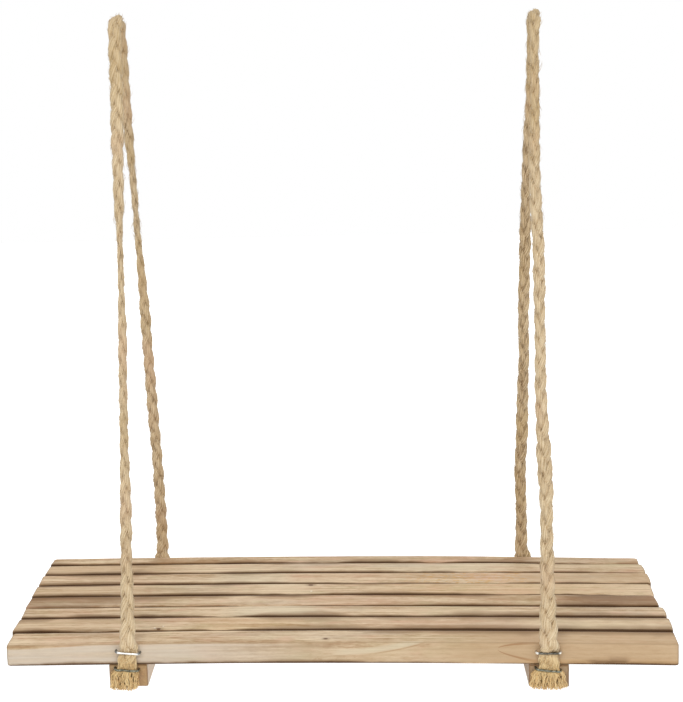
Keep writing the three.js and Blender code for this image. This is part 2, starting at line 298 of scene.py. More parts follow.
class GrowingTree(Tree):
    """A geometry tree with named inputs for its sizes, given as labels by kind of socket."""

    def __init__(self, name, **labels):
        super().__init__(bpy.data.node_groups.new(name, "GeometryNodeTree"))
        for kind, names in {"Geometry": ["Guide"], **labels, "Material": ["Material"]}.items():
            for label in names:
                self.nodes.interface.new_socket(label, in_out="INPUT", socket_type=f"NodeSocket{kind}")
        self.nodes.interface.new_socket("Mesh", in_out="OUTPUT", socket_type="NodeSocketGeometry")
        outputs = self.nodes.nodes.new("NodeGroupInput").outputs
        self.given = SimpleNamespace(**{
            socket.name.lower().replace(" ", "_"): Wire(self, socket) for socket in outputs if socket.name
        })
        self.kinds = {}

    def place(self):
        return self.add("GeometryNodeInputPosition")

    def move(self, geometry, place):
        return self.add("GeometryNodeSetPosition", geometry, named={"Position": place})

    def store(self, geometry, name, value):
        self.kinds[name] = "FLOAT_VECTOR" if value.socket.type == "VECTOR" else "FLOAT"
        return self.add(
            "GeometryNodeStoreNamedAttribute", geometry, None, name, value, data_type=self.kinds[name],
        )

    def recall(self, name):
        """A number or vector that was stored, or a number that came with the guide."""
        return self.add("GeometryNodeInputNamedAttribute", name, data_type=self.kinds.get(name, "FLOAT"))

    def random(self, low, high, number, seed):
        return self.add("FunctionNodeRandomValue", low, high, number, seed, data_type="FLOAT")

    def sway(self, path):
        """Smooth noise about zero in each direction, from -0.5 to 0.5."""
        return self.add("ShaderNodeTexNoise", path, named={"Scale": 1, "Detail": 1}, out=1) - 0.5

    def guide_curve(self):
        line = self.add("GeometryNodeMeshToCurve", self.given.guide)
        return self.add("GeometryNodeResampleCurve", line, named={"Length": self.given.step}, mode="LENGTH")

    def copies(self, line, count):
        """Copies of a curve, and each one's number."""
        number = self.add("GeometryNodeDuplicateElements", line, None, count, domain="SPLINE", out=1)
        return number.first(), number

    def ring(self, sides, radius):
        return self.add("GeometryNodeCurvePrimitiveCircle", sides, named={"Radius": radius})

    def tube(self, line, ring, width):
        return self.add("GeometryNodeCurveToMesh", line, ring, width, True)

    def finish(self, geometry):
        smooth = self.add("GeometryNodeSetShadeSmooth", geometry)
        real = self.add("GeometryNodeRealizeInstances", smooth)
        covered = self.add("GeometryNodeSetMaterial", real, named={"Material": self.given.material})
        output = self.nodes.nodes.new("NodeGroupOutput")
        self.nodes.links.new(covered.socket, output.inputs[0])
        return self.nodes


def place_object(name, data):
    thing = bpy.data.objects.new(name, data)
    bpy.context.collection.objects.link(thing)
    return thing


def grow(name, nodes, sizes, guide=None):
    """Runs a geometry tree once on a guide and keeps what it makes as a plain mesh of its own."""
    host = place_object(f"{name}_guide", guide or bpy.data.meshes.new(f"{name}_guide"))
    modifier = host.modifiers.new(name, "NODES")
    modifier.node_group = nodes
    for item in nodes.interface.items_tree:
        if item.in_out == "INPUT" and item.name in sizes:
            modifier[item.identifier] = sizes[item.name]
    evaluated = host.evaluated_get(bpy.context.evaluated_depsgraph_get())
    mesh = bpy.data.meshes.new_from_object(evaluated)
    mesh.name = name
    piece = place_object(name, mesh)
    bpy.data.objects.remove(host)
    return piece


def guide_line(name, points, **shares):
    """A line of edges through points, with a number at each point for each named share."""
    mesh = bpy.data.meshes.new(name)
    mesh.from_pydata(points, [(i, i + 1) for i in range(len(points) - 1)], [])
    for label, values in shares.items():
        mesh.attributes.new(label, "FLOAT", "POINT").data.foreach_set("value", values)
    return mesh


# Board tree: a block with rounded arrises, wandering edges, slanted ends, grain relief and a bow
CROWN_REACH = 0.1
DROOP_REACH = 0.4
BROAD_WAVES = Vector((7, 70, 70))
FINE_WAVES = Vector((16, 330, 330))
FAR_EDGE_SEED = 9


def board_tree():
    tree = GrowingTree(
        "worn_board",
        Vector=("Size", "Centre"),
        Int=("Cuts Along", "Cuts Across", "Cuts Down"),
        Float=(
            "Turn", "Edge Radius", "End Radius", "Near Wander", "Far Wander", "Wander Wave", "Far Swell",
            "Swell Middle", "Swell Reach", "Left Slant", "Right Slant", "Right Crown", "Left Droop",
            "Right Droop", "Broad Relief", "Fine Relief", "Bow", "Bow Reach", "Seed",
        ),
    )
    given = tree.given
    cuts = (given.cuts_along, given.cuts_across, given.cuts_down)
    block = tree.add("GeometryNodeMeshCube", given.size, *cuts)
    place = tree.place()
    soft = tree.vector(given.end_radius, given.edge_radius, given.edge_radius)
    inner = given.size * 0.5 - soft
    core = inner.math("MINIMUM", (inner * -1).math("MAXIMUM", place))
    outward = ((place - core) / soft).math("NORMALIZE")
    board = tree.move(block, core + outward * soft)
    board = tree.store(board, "grain", place)

    x, y, z = place.parts()
    near = tree.noise(tree.vector(x / given.wander_wave, given.seed, 0)) * given.near_wander
    far = tree.noise(tree.vector(x / given.wander_wave, given.seed, FAR_EDGE_SEED)) * given.far_wander
    reach = ((x - given.swell_middle) / given.swell_reach).math("ABSOLUTE")
    far = far + tree.ramp(reach, 1, 0) * given.far_swell
    across = y / given.size.part(1) + 0.5
    along = x / given.size.part(0) + 0.5
    slant = (given.right_slant * along + given.left_slant * (1 - along)) * (across - 0.5)
    corner = (across * 2 - 1) * (across * 2 - 1)
    crown = tree.ramp(along, 1 - CROWN_REACH, 1) * given.right_crown
    right_droop = tree.ramp(along, 1 - DROOP_REACH, 1) * given.right_droop
    droop = right_droop + tree.ramp(along, DROOP_REACH, 0) * given.left_droop
    wandered = tree.vector(x + slant - crown * corner, y + near + (far - near) * across, z - droop)
    board = tree.move(board, wandered)

    place_in_grain = tree.recall("grain")
    shift = tree.vector(given.seed, given.seed, given.seed)
    broad = tree.noise(place_in_grain * BROAD_WAVES + shift) * given.broad_relief
    fine = tree.noise(place_in_grain * FINE_WAVES + shift, detail=1) * given.fine_relief
    board = tree.move(board, place + tree.add("GeometryNodeInputNormal") * (broad + fine))

    bend = x / given.bow_reach
    bowed = place + tree.vector(0, 0, (1 - bend * bend) * given.bow)
    turned = tree.add("ShaderNodeVectorRotate", bowed, None, given.turn, rotation_type="Z_AXIS")
    return tree.finish(tree.move(board, turned + given.centre))


# Plait tree: strands that pass over and under each other along a guide, with yarns, hairs and thin stubs
SWELLINGS = 45
SWELLING_SHARE = 0.09
# PROUD_LEVELS, PROUD_TONE, YARN_TONE and HOLLOW_TONE paint light and shade into the strands' tone: a
# painted highlight on the proud tops, and painted shade deep in the plait and in the grooves between yarns
PROUD_LEVELS = (0.3, 0.95)
PROUD_TONE = 0.5
YARN_TONE = 0.24
HOLLOW_TONE = 0.3
FIBRE_SCALE = 2.2
FIBRE_RUN = 38
STRAND_OFFSET = 7
HAIR_SIDES = 3
HAIR_BEND_SHARES = (0.3, 0.7)
HAIR_CROOK = 0.05
HAIR_TAPER = 0.6
HAIR_DIP_SHARE = 0.3
HAIR_SCALES = (0.4, 1.1)
HAIR_TONES = (0.0, 1.45)
GUIDE_SHARES = ("along", "spread", "press", "full", "loose")
KEPT_ON_PLAIT = ("shade", "fibre")


def plait_tree():
    tree = GrowingTree(
        "plait",
        Int=("Strands", "Yarns", "Yarn Sides", "Seed"),
        Float=(
            "Width", "Depth", "Strand Radius", "Pitch", "Step", "Yarn Groove", "Yarn Turns", "Wander",
            "Wander Wave", "Over", "Hair Density", "Hair Length", "Hair Rise", "Hair Reach", "Hair Radius",
            "Hair Swing", "Hair Tip",
        ),
    )
    given = tree.given
    radius = given.strand_radius
    along = tree.recall("along")
    place = tree.place()
    wave = tree.vector(along / given.wander_wave, given.seed, 0)
    line = tree.move(tree.guide_curve(), place + tree.sway(wave) * given.wander * tree.recall("loose") * 2)
    line = tree.store(line, "middle", place)
    line = tree.store(line, "heading", tree.add("GeometryNodeInputTangent"))

    strands, number = tree.copies(line, given.strands)
    turn = along / given.pitch * math.tau + number * math.tau / given.strands
    side = (given.width * 0.5 - radius) * turn.math("SINE")
    lift = (given.depth * 0.5 - radius) * (turn * 2).math("SINE") * given.over
    outward = tree.recall("heading").math("CROSS_PRODUCT", Vector((1, 0, 0)))
    strands = tree.move(strands, place + tree.vector(side, 0, 0) + outward * lift)
    strands = tree.store(strands, "run", tree.add("GeometryNodeSplineParameter", out=1))
    strands = tree.store(strands, "strand", number)
    strands = tree.store(strands, "flow", tree.add("GeometryNodeInputTangent"))
    tilt = tree.recall("run") * given.yarn_turns * math.tau
    strands = tree.add("GeometryNodeSetCurveTilt", strands, None, tilt)

    ring = tree.ring(given.yarns * given.yarn_sides, 1)
    lobe = (tree.add("GeometryNodeSplineParameter") * given.yarns * math.tau).math("COSINE")
    ring = tree.store(ring, "lobe", lobe)
    ring = tree.move(ring, place * (1 + lobe * given.yarn_groove))
    ring = tree.store(ring, "section", place)
    swellings = tree.vector(tree.recall("run") * SWELLINGS, number, given.seed)
    thickness = radius * (1 + tree.noise(swellings, detail=1) * SWELLING_SHARE) * tree.recall("full")
    mesh = tree.tube(strands, ring, thickness)

    middle = tree.recall("middle")
    off = place - middle
    right = off.part(0)
    proud = off.math("DOT_PRODUCT", outward)
    slack = off - tree.vector(right, 0, 0) - outward * proud
    height = tree.vector(right / given.width, proud / given.depth, 0).math("LENGTH") * 2
    mesh = tree.store(mesh, "height", height)
    spread = tree.vector(right * tree.recall("spread"), 0, 0)
    mesh = tree.move(mesh, middle + slack + spread + outward * (proud * tree.recall("press")))
    # Painted shade and highlight: the strands' tone is lighter where they stand proud, and darker deep in
    # the plait and in the grooves between yarns
    shade = tree.ramp(tree.recall("height"), *PROUD_LEVELS) * PROUD_TONE
    mesh = tree.store(mesh, "shade", shade + tree.recall("lobe") * YARN_TONE + HOLLOW_TONE)
    fibre_run = tree.recall("run") * FIBRE_RUN + tree.recall("strand") * STRAND_OFFSET
    mesh = tree.store(mesh, "fibre", tree.recall("section") * FIBRE_SCALE + tree.vector(0, 0, fibre_run))

    length = given.hair_length
    rise = given.hair_rise * length
    first_bend, second_bend = (length * share for share in HAIR_BEND_SHARES)
    hair = tree.add(
        "GeometryNodeCurvePrimitiveBezierSegment", 3, tree.vector(), tree.vector(first_bend, 0, rise),
        tree.vector(second_bend, length * HAIR_CROOK, rise), tree.vector(length, 0, 0),
    )
    taper = 1 - tree.add("GeometryNodeSplineParameter") * HAIR_TAPER
    hair = tree.tube(hair, tree.ring(HAIR_SIDES, given.hair_radius), taper)
    density = given.hair_density * tree.recall("loose")
    roots = tree.add(
        "GeometryNodeDistributePointsOnFaces", mesh, named={"Density": density, "Seed": given.seed}, out=1,
    )
    index = tree.add("GeometryNodeInputIndex")
    either_way = tree.random(0, 1, index, given.seed + 6).math("ROUND") * 2 - 1
    along_strand = tree.recall("flow") * either_way
    lying = tree.add(
        "FunctionNodeAxesToRotation", roots, along_strand, primary_axis="Z", secondary_axis="X",
    )
    swing = tree.random(given.hair_swing * -1, given.hair_swing, index, given.seed + 1)
    tip = tree.random(given.hair_tip * -1, given.hair_tip * HAIR_DIP_SHARE, index, given.seed + 2)
    bent = tree.vector(0, tip, swing)
    turned = tree.add("FunctionNodeRotateRotation", lying, bent, rotation_space="LOCAL")
    grown = tree.random(*HAIR_SCALES, index, given.seed + 4)
    hairs = tree.add(
        "GeometryNodeInstanceOnPoints", roots.first(),
        named={"Instance": hair, "Rotation": turned, "Scale": grown},
    )
    hairs = tree.add("GeometryNodeRealizeInstances", hairs)
    heading = tree.recall("heading")
    off = place - middle
    ahead = heading * off.math("DOT_PRODUCT", heading)
    aside = off - ahead
    held = (given.hair_reach / aside.math("LENGTH")).math("MINIMUM", 1)
    hairs = tree.move(hairs, middle + ahead + aside * held)
    hairs = tree.store(hairs, "shade", tree.random(*HAIR_TONES, index, given.seed + 5))
    both = tree.add("GeometryNodeJoinGeometry", [mesh, hairs])
    for name in (*tree.kinds, *GUIDE_SHARES):
        if name not in KEPT_ON_PLAIT:
            both = tree.add("GeometryNodeRemoveAttribute", both, named={"Name": name})
    return tree.finish(both)


# Fray tree: loose wavy fibres that fan out from a pinched waist over the face they lie on
CORNER_RAG = 1.5
QUICK_OPENING = 0.8
TOP_NARROWING = 0.6
STILL_SHARE = 0.9
LOCK_JITTER = 0.3
LOCK_PLACE, FIBRE_PLACE, LAYER_PLACE = 1.7, 2.6, 1.9
WAVE_LIFT = 0.5
FIBRE_TONES = (0.35, 1)
LOCK_TONE_SHARE = 0.4
# DEEP_TONE and LAYER_TONE paint shade: fibres in the layers nearest the wood, under the other fibres, are
# darker
DEEP_TONE = 0.5
LAYER_TONE = 0.6
FIBRE_SIDES = 4
FIBRE_WIDTHS = (0.6, 1.15)
FIBRE_TAPER = (0.8, 1.1, 1, 0.55)
LOCK_NUMBERS_FROM = 50


def fray_tree():
    tree = GrowingTree(
        "fray",
        Int=("Fibres", "Steps", "Seed"),
        Float=(
            "Centre", "Face", "Side", "Top", "Drop", "Waist", "Fan", "Lean", "Pinch Share", "Top Depth",
            "End Depth", "Radius", "Locks", "Opening", "Wave", "Wave Length", "Rag",
        ),
    )
    given = tree.given
    seed = given.seed
    radius = given.radius
    pinch = given.pinch_share
    line = tree.add("GeometryNodeCurvePrimitiveLine", tree.vector(), tree.vector(0, 0, 1))
    line = tree.add("GeometryNodeResampleCurve", line, None, given.steps)
    fibres, number = tree.copies(line, given.fibres)
    aside = tree.random(-1, 1, number, seed)
    layer = tree.random(0, 1, number, seed + 1)
    corner = aside * aside * aside * aside
    reach = 1 - (tree.random(0, 1, number, seed + 2) + corner * CORNER_RAG) * given.rag
    down = tree.add("GeometryNodeSplineParameter") * reach

    opened = tree.ramp(down, pinch, pinch + given.opening).math("SQRT") * QUICK_OPENING
    opened = opened + tree.ramp(down, pinch, 1) * (1 - QUICK_OPENING)
    half = (given.waist + (given.fan - given.waist) * opened) * 0.5 - radius
    half = half * tree.ramp(down, 0, pinch, TOP_NARROWING, 1)
    loose = tree.ramp(down, pinch * STILL_SHARE, pinch + given.opening)
    drop = down * given.drop
    jitter = tree.random(-LOCK_JITTER, LOCK_JITTER, number, seed + 5)
    lock = (aside * given.locks * 0.5 + jitter).math("ROUND")
    path = tree.vector(
        drop / given.wave_length, lock * LOCK_PLACE + aside * FIBRE_PLACE, layer * LAYER_PLACE + seed,
    )
    wobble = tree.sway(path) * given.wave * loose * 2
    depth = given.top_depth + (given.end_depth - given.top_depth) * opened
    x = given.centre + aside * half + wobble.part(0) + given.lean * opened
    lift = radius + (depth - radius * 2) * layer + wobble.part(1).math("ABSOLUTE") * WAVE_LIFT
    fibres = tree.move(fibres, tree.vector(x, given.face + given.side * lift, given.top - drop))
    lock_tone = tree.random(*FIBRE_TONES, lock + LOCK_NUMBERS_FROM, seed + 7)
    fibre_tone = tree.random(*FIBRE_TONES, number, seed + 3)
    tone = fibre_tone * (1 - LOCK_TONE_SHARE) + lock_tone * LOCK_TONE_SHARE
    # Painted shade: a fibre's tone is darker the nearer its layer lies to the wood, under the other fibres
    fibres = tree.store(fibres, "shade", tone * (DEEP_TONE + layer * LAYER_TONE))
    fibres = tree.store(fibres, "fibre", tree.vector(number * LOCK_PLACE, layer, down * 2))
    width = tree.random(*FIBRE_WIDTHS, number, seed + 4) * tree.ramp(down, *FIBRE_TAPER)
    return tree.finish(tree.tube(fibres, tree.ring(FIBRE_SIDES, radius), width))


# Wire tree: round wire along a guide, knocked about a little
WIRE_SIDES = 14
DENT_SHARE = 0.06


def wire_tree():
    tree = GrowingTree("bent_wire", Float=("Radius", "Step", "Wobble", "Wobble Wave", "Seed"))
    given = tree.given
    run = tree.add("GeometryNodeSplineParameter", out=1)
    path = tree.vector(run / given.wobble_wave, given.seed, 0)
    line = tree.move(tree.guide_curve(), tree.place() + tree.sway(path) * given.wobble * 2)
    dents = 1 + tree.noise(path * 2, detail=1) * DENT_SHARE
    return tree.finish(tree.tube(line, tree.ring(WIRE_SIDES, given.radius), dents))


class Finish(Tree):
    """A material's tree, with its own surface shader."""

    def __init__(self, name):
        self.material = bpy.data.materials.new(name)
        self.material.use_nodes = True
        super().__init__(self.material.node_tree)
        self.shader = self.nodes.nodes["Principled BSDF"]

    def attribute(self, name, out=1):
        return self.add("ShaderNodeAttribute", attribute_name=name, attribute_type="GEOMETRY", out=out)

    def own_place(self):
        return self.add("ShaderNodeTexCoord", out=3)

    def bump(self, height, distance, strength):
        inputs = {"Height": height, "Distance": distance, "Strength": strength}
        return self.add("ShaderNodeBump", named=inputs)

    def coat(self, base, *coats):
        """base under coats of other colours, each one a mask, how strongly it covers, and its colour."""
        for mask, share, tint in coats:
            base = self.mix(mask * share, base, tint)
        return base

    def dress(self, **inputs):
        for label, value in inputs.items():
            self.feed(self.shader.inputs[label.replace("_", " ")], value)
        return self.material


class BoardFinish(Finish):
    """The finish of one board, whose marks are placed on its own grain."""

    def __init__(self, name, board, size):
        super().__init__(name)
        self.board = board
        self.size = size
        self.grain = self.attribute("grain")
        self.x, self.y, self.z = self.grain.parts()
        low = self.vector(self.z + size.z / 2, self.y + size.y / 2, 0).math("LENGTH")
        self.edges = {"near": self.y + size.y / 2, "far": size.y / 2 - self.y, "low": low}

    def figure(self, waves, detail=3, roughness=0.5, seed=0):
        """Noise that no other board has, with so many waves to the metre along and across the grain."""
        shift = BOARD_SHIFT * self.board["seed"]
        return self.noise(self.grain * Vector(waves) + shift, detail, roughness, seed)

    def from_middle(self, start, end):
        """0 in the middle of a stretch of X and 1 at its ends."""
        return (self.x - (start + end) / 2).math("ABSOLUTE") / ((end - start) / 2)


# Wood
WOOD_PALE = colour(230, 207, 173)
WOOD_BROWN = colour(158, 120, 79)
WOOD_LATE = colour(158, 116, 76)
WOOD_PINK = colour(216, 172, 144)
WOOD_GREEN = colour(186, 172, 130)
WOOD_GREY = colour(178, 166, 150)
WOOD_WASH = colour(222, 212, 197)
WOOD_GOLD = colour(206, 158, 92)
WOOD_TAN = colour(194, 162, 124)
# A dull tan for end grain and grain lines, and for the painted shade on the front slat's face
WOOD_DULL_TAN_AND_SHADE = colour(166, 140, 108)
KNOT_DARK = colour(92, 56, 26)
WOOD_UMBER = colour(138, 108, 84)
WOOD_MIST = colour(216, 207, 180)
WOOD_SPECK = colour(246, 238, 222)
SCORCH = colour(72, 46, 18)
SCORCH_HALO = colour(126, 94, 60)
# Mottles: a colour, waves to the metre along and across the grain, and a seed
MOTTLES = (
    (WOOD_PINK, (9, 24, 24), 6),
    (WOOD_GREEN, (8, 20, 20), 7),
    (WOOD_GREY, (7, 30, 30), 9),
    (WOOD_PINK, (30, 95, 95), 10),
    (WOOD_GREEN, (26, 80, 80), 11),
)
# Noise on the grain of a board, by what it draws
FIGURES = {
    "streak": {"waves": (7, 420, 420), "roughness": 0.62},
    "fleck": {"waves": (90, 680, 680), "roughness": 0.7},
    "broad": {"waves": (4, 125, 125), "roughness": 0.6, "seed": 4},
    "grit": {"waves": (60, 230, 230), "roughness": 0.7, "seed": 14},
    "weather": {"waves": (6, 14, 14), "seed": 12},
    "burn": {"waves": (10, 8, 8), "seed": 8},
    "ring sway": {"waves": (6, 30, 30), "detail": 2},
    "ring spacing": {"waves": (3, 70, 70), "detail": 1, "seed": 3},
}
# A pair of levels, ends or edges says where a ramp starts and where it ends
TONE_SHARES = {"streak": 0.5, "fleck": 0.5, "broad": 0.62, "grit": 0.42, "weather": 0.36}
MIDDLE_TONE = 0.38
MOTTLE_LEVELS = (0.0, 0.7)
MOTTLE_SHARE = 0.52
TINT_ENDS = (1.4, 0.4)
TINT_WAVER = 0.5
MARK_WAVER = 0.4
WOOD_BUMP = 0.00018
STREAK_RELIEF, FLECK_RELIEF, LATE_RELIEF = 0.6, 0.4, 0.6
WOOD_ROUGHNESS = (0.68, 0.84)
NOISE_LEVELS = (0, 1)
RING_SPACING = 0.0046
RING_SWAY = 0.0022
RING_UNEVENNESS = 0.4
RING_STEP = 3.7
RING_RUN = 5
RING_RISE = (0.3, 0.93)
RING_FALL = (1.0, 0.95)
KNOT_SHAPE = Vector((0.7, 1, 0.3))
KNOT_BULGE = 1.3
KNOT_BULGE_REACH = (4, 0)
KNOT_LAYERS = (((1.05, 0.5), 0.7), ((2.4, 0.9), 0.3))
KNOT_DARKEST = 0.94
SPECK_EDGE = (1.2, 0.4)
SPECK_SHARE = 0.8
SCORCH_WIDTH = 0.0020
HALO_WIDTH = 0.0070
HALO_SHARE = 0.72
LOW_SCORCH_WIDTH = 0.0026
LOW_HALO_WIDTH = LOW_SCORCH_WIDTH * 1.9
BURN_SWING = 1.7
LEAST_BURN = 0.12
BURN_STREAK, BURN_FLECK = 0.35, 0.25
BURN_LEVELS = (0.15, 0.9, 0.35, 1)
CORE_EDGE = (1.3, 0.2)
HALO_EDGE = (1.2, 0.1)
LOW_CORE_EDGE = (1.2, 0.55)
LOW_HALO_EDGE = (1.0, 0.2)
SMUDGE_ENDS = (1.3, 0.5)
SMUDGE_END_WAVER = 0.5
SMUDGE_WAVER = 0.15
LOW_CORE_WAVER = 0.9
LOW_HALO_WAVER = 1.2
SMUDGE_EDGE = (1.15, 0)
END_GRAIN_DEPTH = 0.0018
END_RIM = 0.0024
RIM_WAVER = 0.001


def knots_and_bulges(finish):
    """How far the rings swell round each knot, and how dark each knot is."""
    bulge = 0
    mask = 0
    for knot_x, knot_y, knot_size in finish.board["knots"]:
        off = (finish.grain - Vector((knot_x, knot_y, finish.size.z / 2))) * KNOT_SHAPE
        off = off.math("LENGTH") / knot_size
        bulge = bulge + finish.ramp(off, *KNOT_BULGE_REACH) * knot_size * KNOT_BULGE
        core, ring = (finish.ramp(off, *edge) * share for edge, share in KNOT_LAYERS)
        mask = core + ring + mask
    return bulge, mask


def growth_rings(finish, bulge):
    """Dark late wood of rings about a far pith. Its cut with each face gives that face's figure."""
    x = finish.x
    pith_y, pith_z = finish.board["pith"]
    slope_y, slope_z = finish.board["slope"]
    sway = finish.figure(**FIGURES["ring sway"]) * RING_SWAY
    y = finish.y - pith_y - x * slope_y + sway
    reach = finish.vector(y, finish.z - pith_z - x * slope_z, 0).math("LENGTH") + bulge
    turn = reach / RING_SPACING + finish.figure(**FIGURES["ring spacing"]) * RING_UNEVENNESS
    share = turn.math("FRACT")
    shift = BOARD_SHIFT.x * finish.board["seed"]
    ring_place = finish.vector(turn.math("FLOOR") * RING_STEP, shift, x * RING_RUN)
    strength = finish.noise(ring_place, detail=0) * 0.5 + 0.5
    late = finish.ramp(share, *RING_RISE) * finish.ramp(share, *RING_FALL)
    return late * strength * finish.board["rings"]


def smudged(finish, fuzz):
    """Brown smudges along stretches of the long edges: which edge, from and to in X, how deep, how dark."""
    smudge = finish.z * 0
    for edge, start, end, depth, share in finish.board["smudges"]:
        run = finish.from_middle(start, end) + fuzz * SMUDGE_END_WAVER
        spot = finish.ramp(run, *SMUDGE_ENDS) * finish.ramp(finish.edges[edge] / depth + fuzz, *SMUDGE_EDGE)
        smudge = smudge.math("MAXIMUM", spot * share)
    return smudge


def scorched(finish, fuzz):
    """How dark the burnt long edges are: a narrow core in a broad halo, stronger here and there."""
    board = finish.board
    wave = finish.figure(**FIGURES["burn"])
    core = finish.z * 0
    halo = finish.z * 0
    for edge in ("near", "far"):
        share, lean = board[edge]
        if not share:
            continue
        distance = finish.edges[edge]
        local = (1 + wave * BURN_SWING + finish.x * (lean / finish.size.x * 2)) * share
        local = local.math("MAXIMUM", LEAST_BURN)
        burnt = finish.ramp(local, *BURN_LEVELS)
        core = finish.ramp(distance / (local * SCORCH_WIDTH) + fuzz, *CORE_EDGE) * burnt + core
        halo = finish.ramp(distance / (local * local * HALO_WIDTH) + fuzz, *HALO_EDGE) + halo
    if board["low"]:
        low = finish.edges["low"]
        low_core = finish.ramp(low / LOW_SCORCH_WIDTH + fuzz + wave * LOW_CORE_WAVER, *LOW_CORE_EDGE)
        low_halo = finish.ramp(low / LOW_HALO_WIDTH + fuzz + wave * LOW_HALO_WAVER, *LOW_HALO_EDGE)
        core = low_core * board["low"] + core
        halo = low_halo * board["low"] + halo
    smudge = smudged(finish, wave * SMUDGE_WAVER + fuzz)
    return (core + smudge * smudge * 0.5).math("MINIMUM", 1), (halo + smudge).math("MINIMUM", 1)


def wood(name, board, size):
    """Dry softwood on the board's own grain: rings, streaks, mottles, knots and scorched arrises."""
    finish = BoardFinish(name, board, size)
    x, y, z = finish.x, finish.y, finish.z
    bulge, knots = knots_and_bulges(finish)
    late = growth_rings(finish, bulge)
    noises = {label: finish.figure(**FIGURES[label]) for label in TONE_SHARES}
    streak, fleck, weather = (noises[label] for label in ("streak", "fleck", "weather"))
    dark_ends = x * x * (board["dark_ends"] / (size.x * size.x / 4))
    tone = sum(noises[label] * share for label, share in TONE_SHARES.items())
    tone = tone + dark_ends + board["dark"] + MIDDLE_TONE

    coats = [(late, 1, WOOD_LATE)]
    for tint, waves, seed in MOTTLES:
        patch = finish.figure(waves, detail=2, seed=seed)
        coats.append((finish.ramp(patch, *MOTTLE_LEVELS), MOTTLE_SHARE, tint))
    for start, end, tint, share in board["tints"]:
        run = finish.from_middle(start, end) + weather * TINT_WAVER + streak * TINT_WAVER
        coats.append((finish.ramp(run, *TINT_ENDS), share, tint))
    # The front slat's weathered face, and each batten's side faces in their own side colour, which on the
    # left batten is painted light
    if board["wash"]:
        coats.append((board["wash"](finish), 1, board["washed"]))
    if board["marks"]:
        coats += board["marks"](finish, fleck * MARK_WAVER + streak * MARK_WAVER)
    if board["knots"]:
        coats.append((knots.math("MINIMUM", KNOT_DARKEST), 1, KNOT_DARK))
    for speck_x, speck_y, speck_size in board["specks"]:
        off = finish.vector(x - speck_x, y - speck_y, 0).math("LENGTH") / speck_size
        coats.append((finish.ramp(off, *SPECK_EDGE), SPECK_SHARE, WOOD_SPECK))
    tip = finish.ramp(size.x / 2 - x.math("ABSOLUTE"), END_GRAIN_DEPTH, END_GRAIN_DEPTH / 4)
    inside = (size.y / 2 - y.math("ABSOLUTE")).math("MINIMUM", size.z / 2 - z.math("ABSOLUTE"))
    rim = finish.ramp(inside + weather * RIM_WAVER, END_RIM, END_RIM / 5)
    core, halo = scorched(finish, streak * BURN_STREAK + fleck * BURN_FLECK)
    coats += [
        (tip, board["end_grain"], WOOD_DULL_TAN_AND_SHADE),
        (rim * tip, board["rim"], SCORCH_HALO),
        (halo, HALO_SHARE, SCORCH_HALO),
        (core, 1, SCORCH),
    ]
    base = finish.mix(finish.ramp(tone, *NOISE_LEVELS), board["pale"], board["brown"])
    relief = streak * STREAK_RELIEF + fleck * FLECK_RELIEF - late * LATE_RELIEF
    return finish.dress(
        Base_Color=finish.coat(base, *coats),
        Roughness=finish.ramp(tone, *NOISE_LEVELS, *WOOD_ROUGHNESS),
        Specular_IOR_Level=0.3,
        Normal=finish.bump(relief, WOOD_BUMP, 0.9),
    )


# Rope fibre
ROPE_LIGHT = colour(231, 212, 178)
ROPE_MID = colour(200, 175, 137)
ROPE_DARK = colour(126, 96, 58)
ROPE_OLIVE = colour(186, 158, 106)
ROPE_ROSE = colour(206, 170, 138)
FRAY_LIGHT = colour(244, 220, 168)
FRAY_MID = colour(222, 188, 130)
FRAY_DARK = colour(148, 104, 56)
COMBED_HEIGHTS = (-0.632, -0.674)
OLIVE_HEIGHTS = (-0.14, -0.02)
# SHADED_DEPTHS, SHADED_SIDES and SHADED_SHARES paint shade on the rope: darker towards the back, more so on
# the right rope
SHADED_DEPTHS = (-0.03, 0.05)
SHADED_SIDES = (-0.1, 0.1)
SHADED_SHARES = (0.10, 0.26)
FIBRE_STREAKS = Vector((2.1, 2.1, 1.8))
FLECK_WAVES = 900
PATCH_WAVES = 26
TINT_WAVES = 13
ROPE_TINTS = ((ROPE_OLIVE, 21), (ROPE_ROSE, 22))
FIBRE_BUMP = 0.0002
STREAK_TONE, FLECK_TONE, PATCH_TONE = 1.1, 0.3, 0.16
MIDDLE_TONES = (0, 0.6)
LIGHT_TONES = (0.5, 1.25)
OLIVE_SHARE = 0.3
ROPE_TINT_LEVELS = (0, 0.5)
ROPE_TINT_SHARE = 0.45


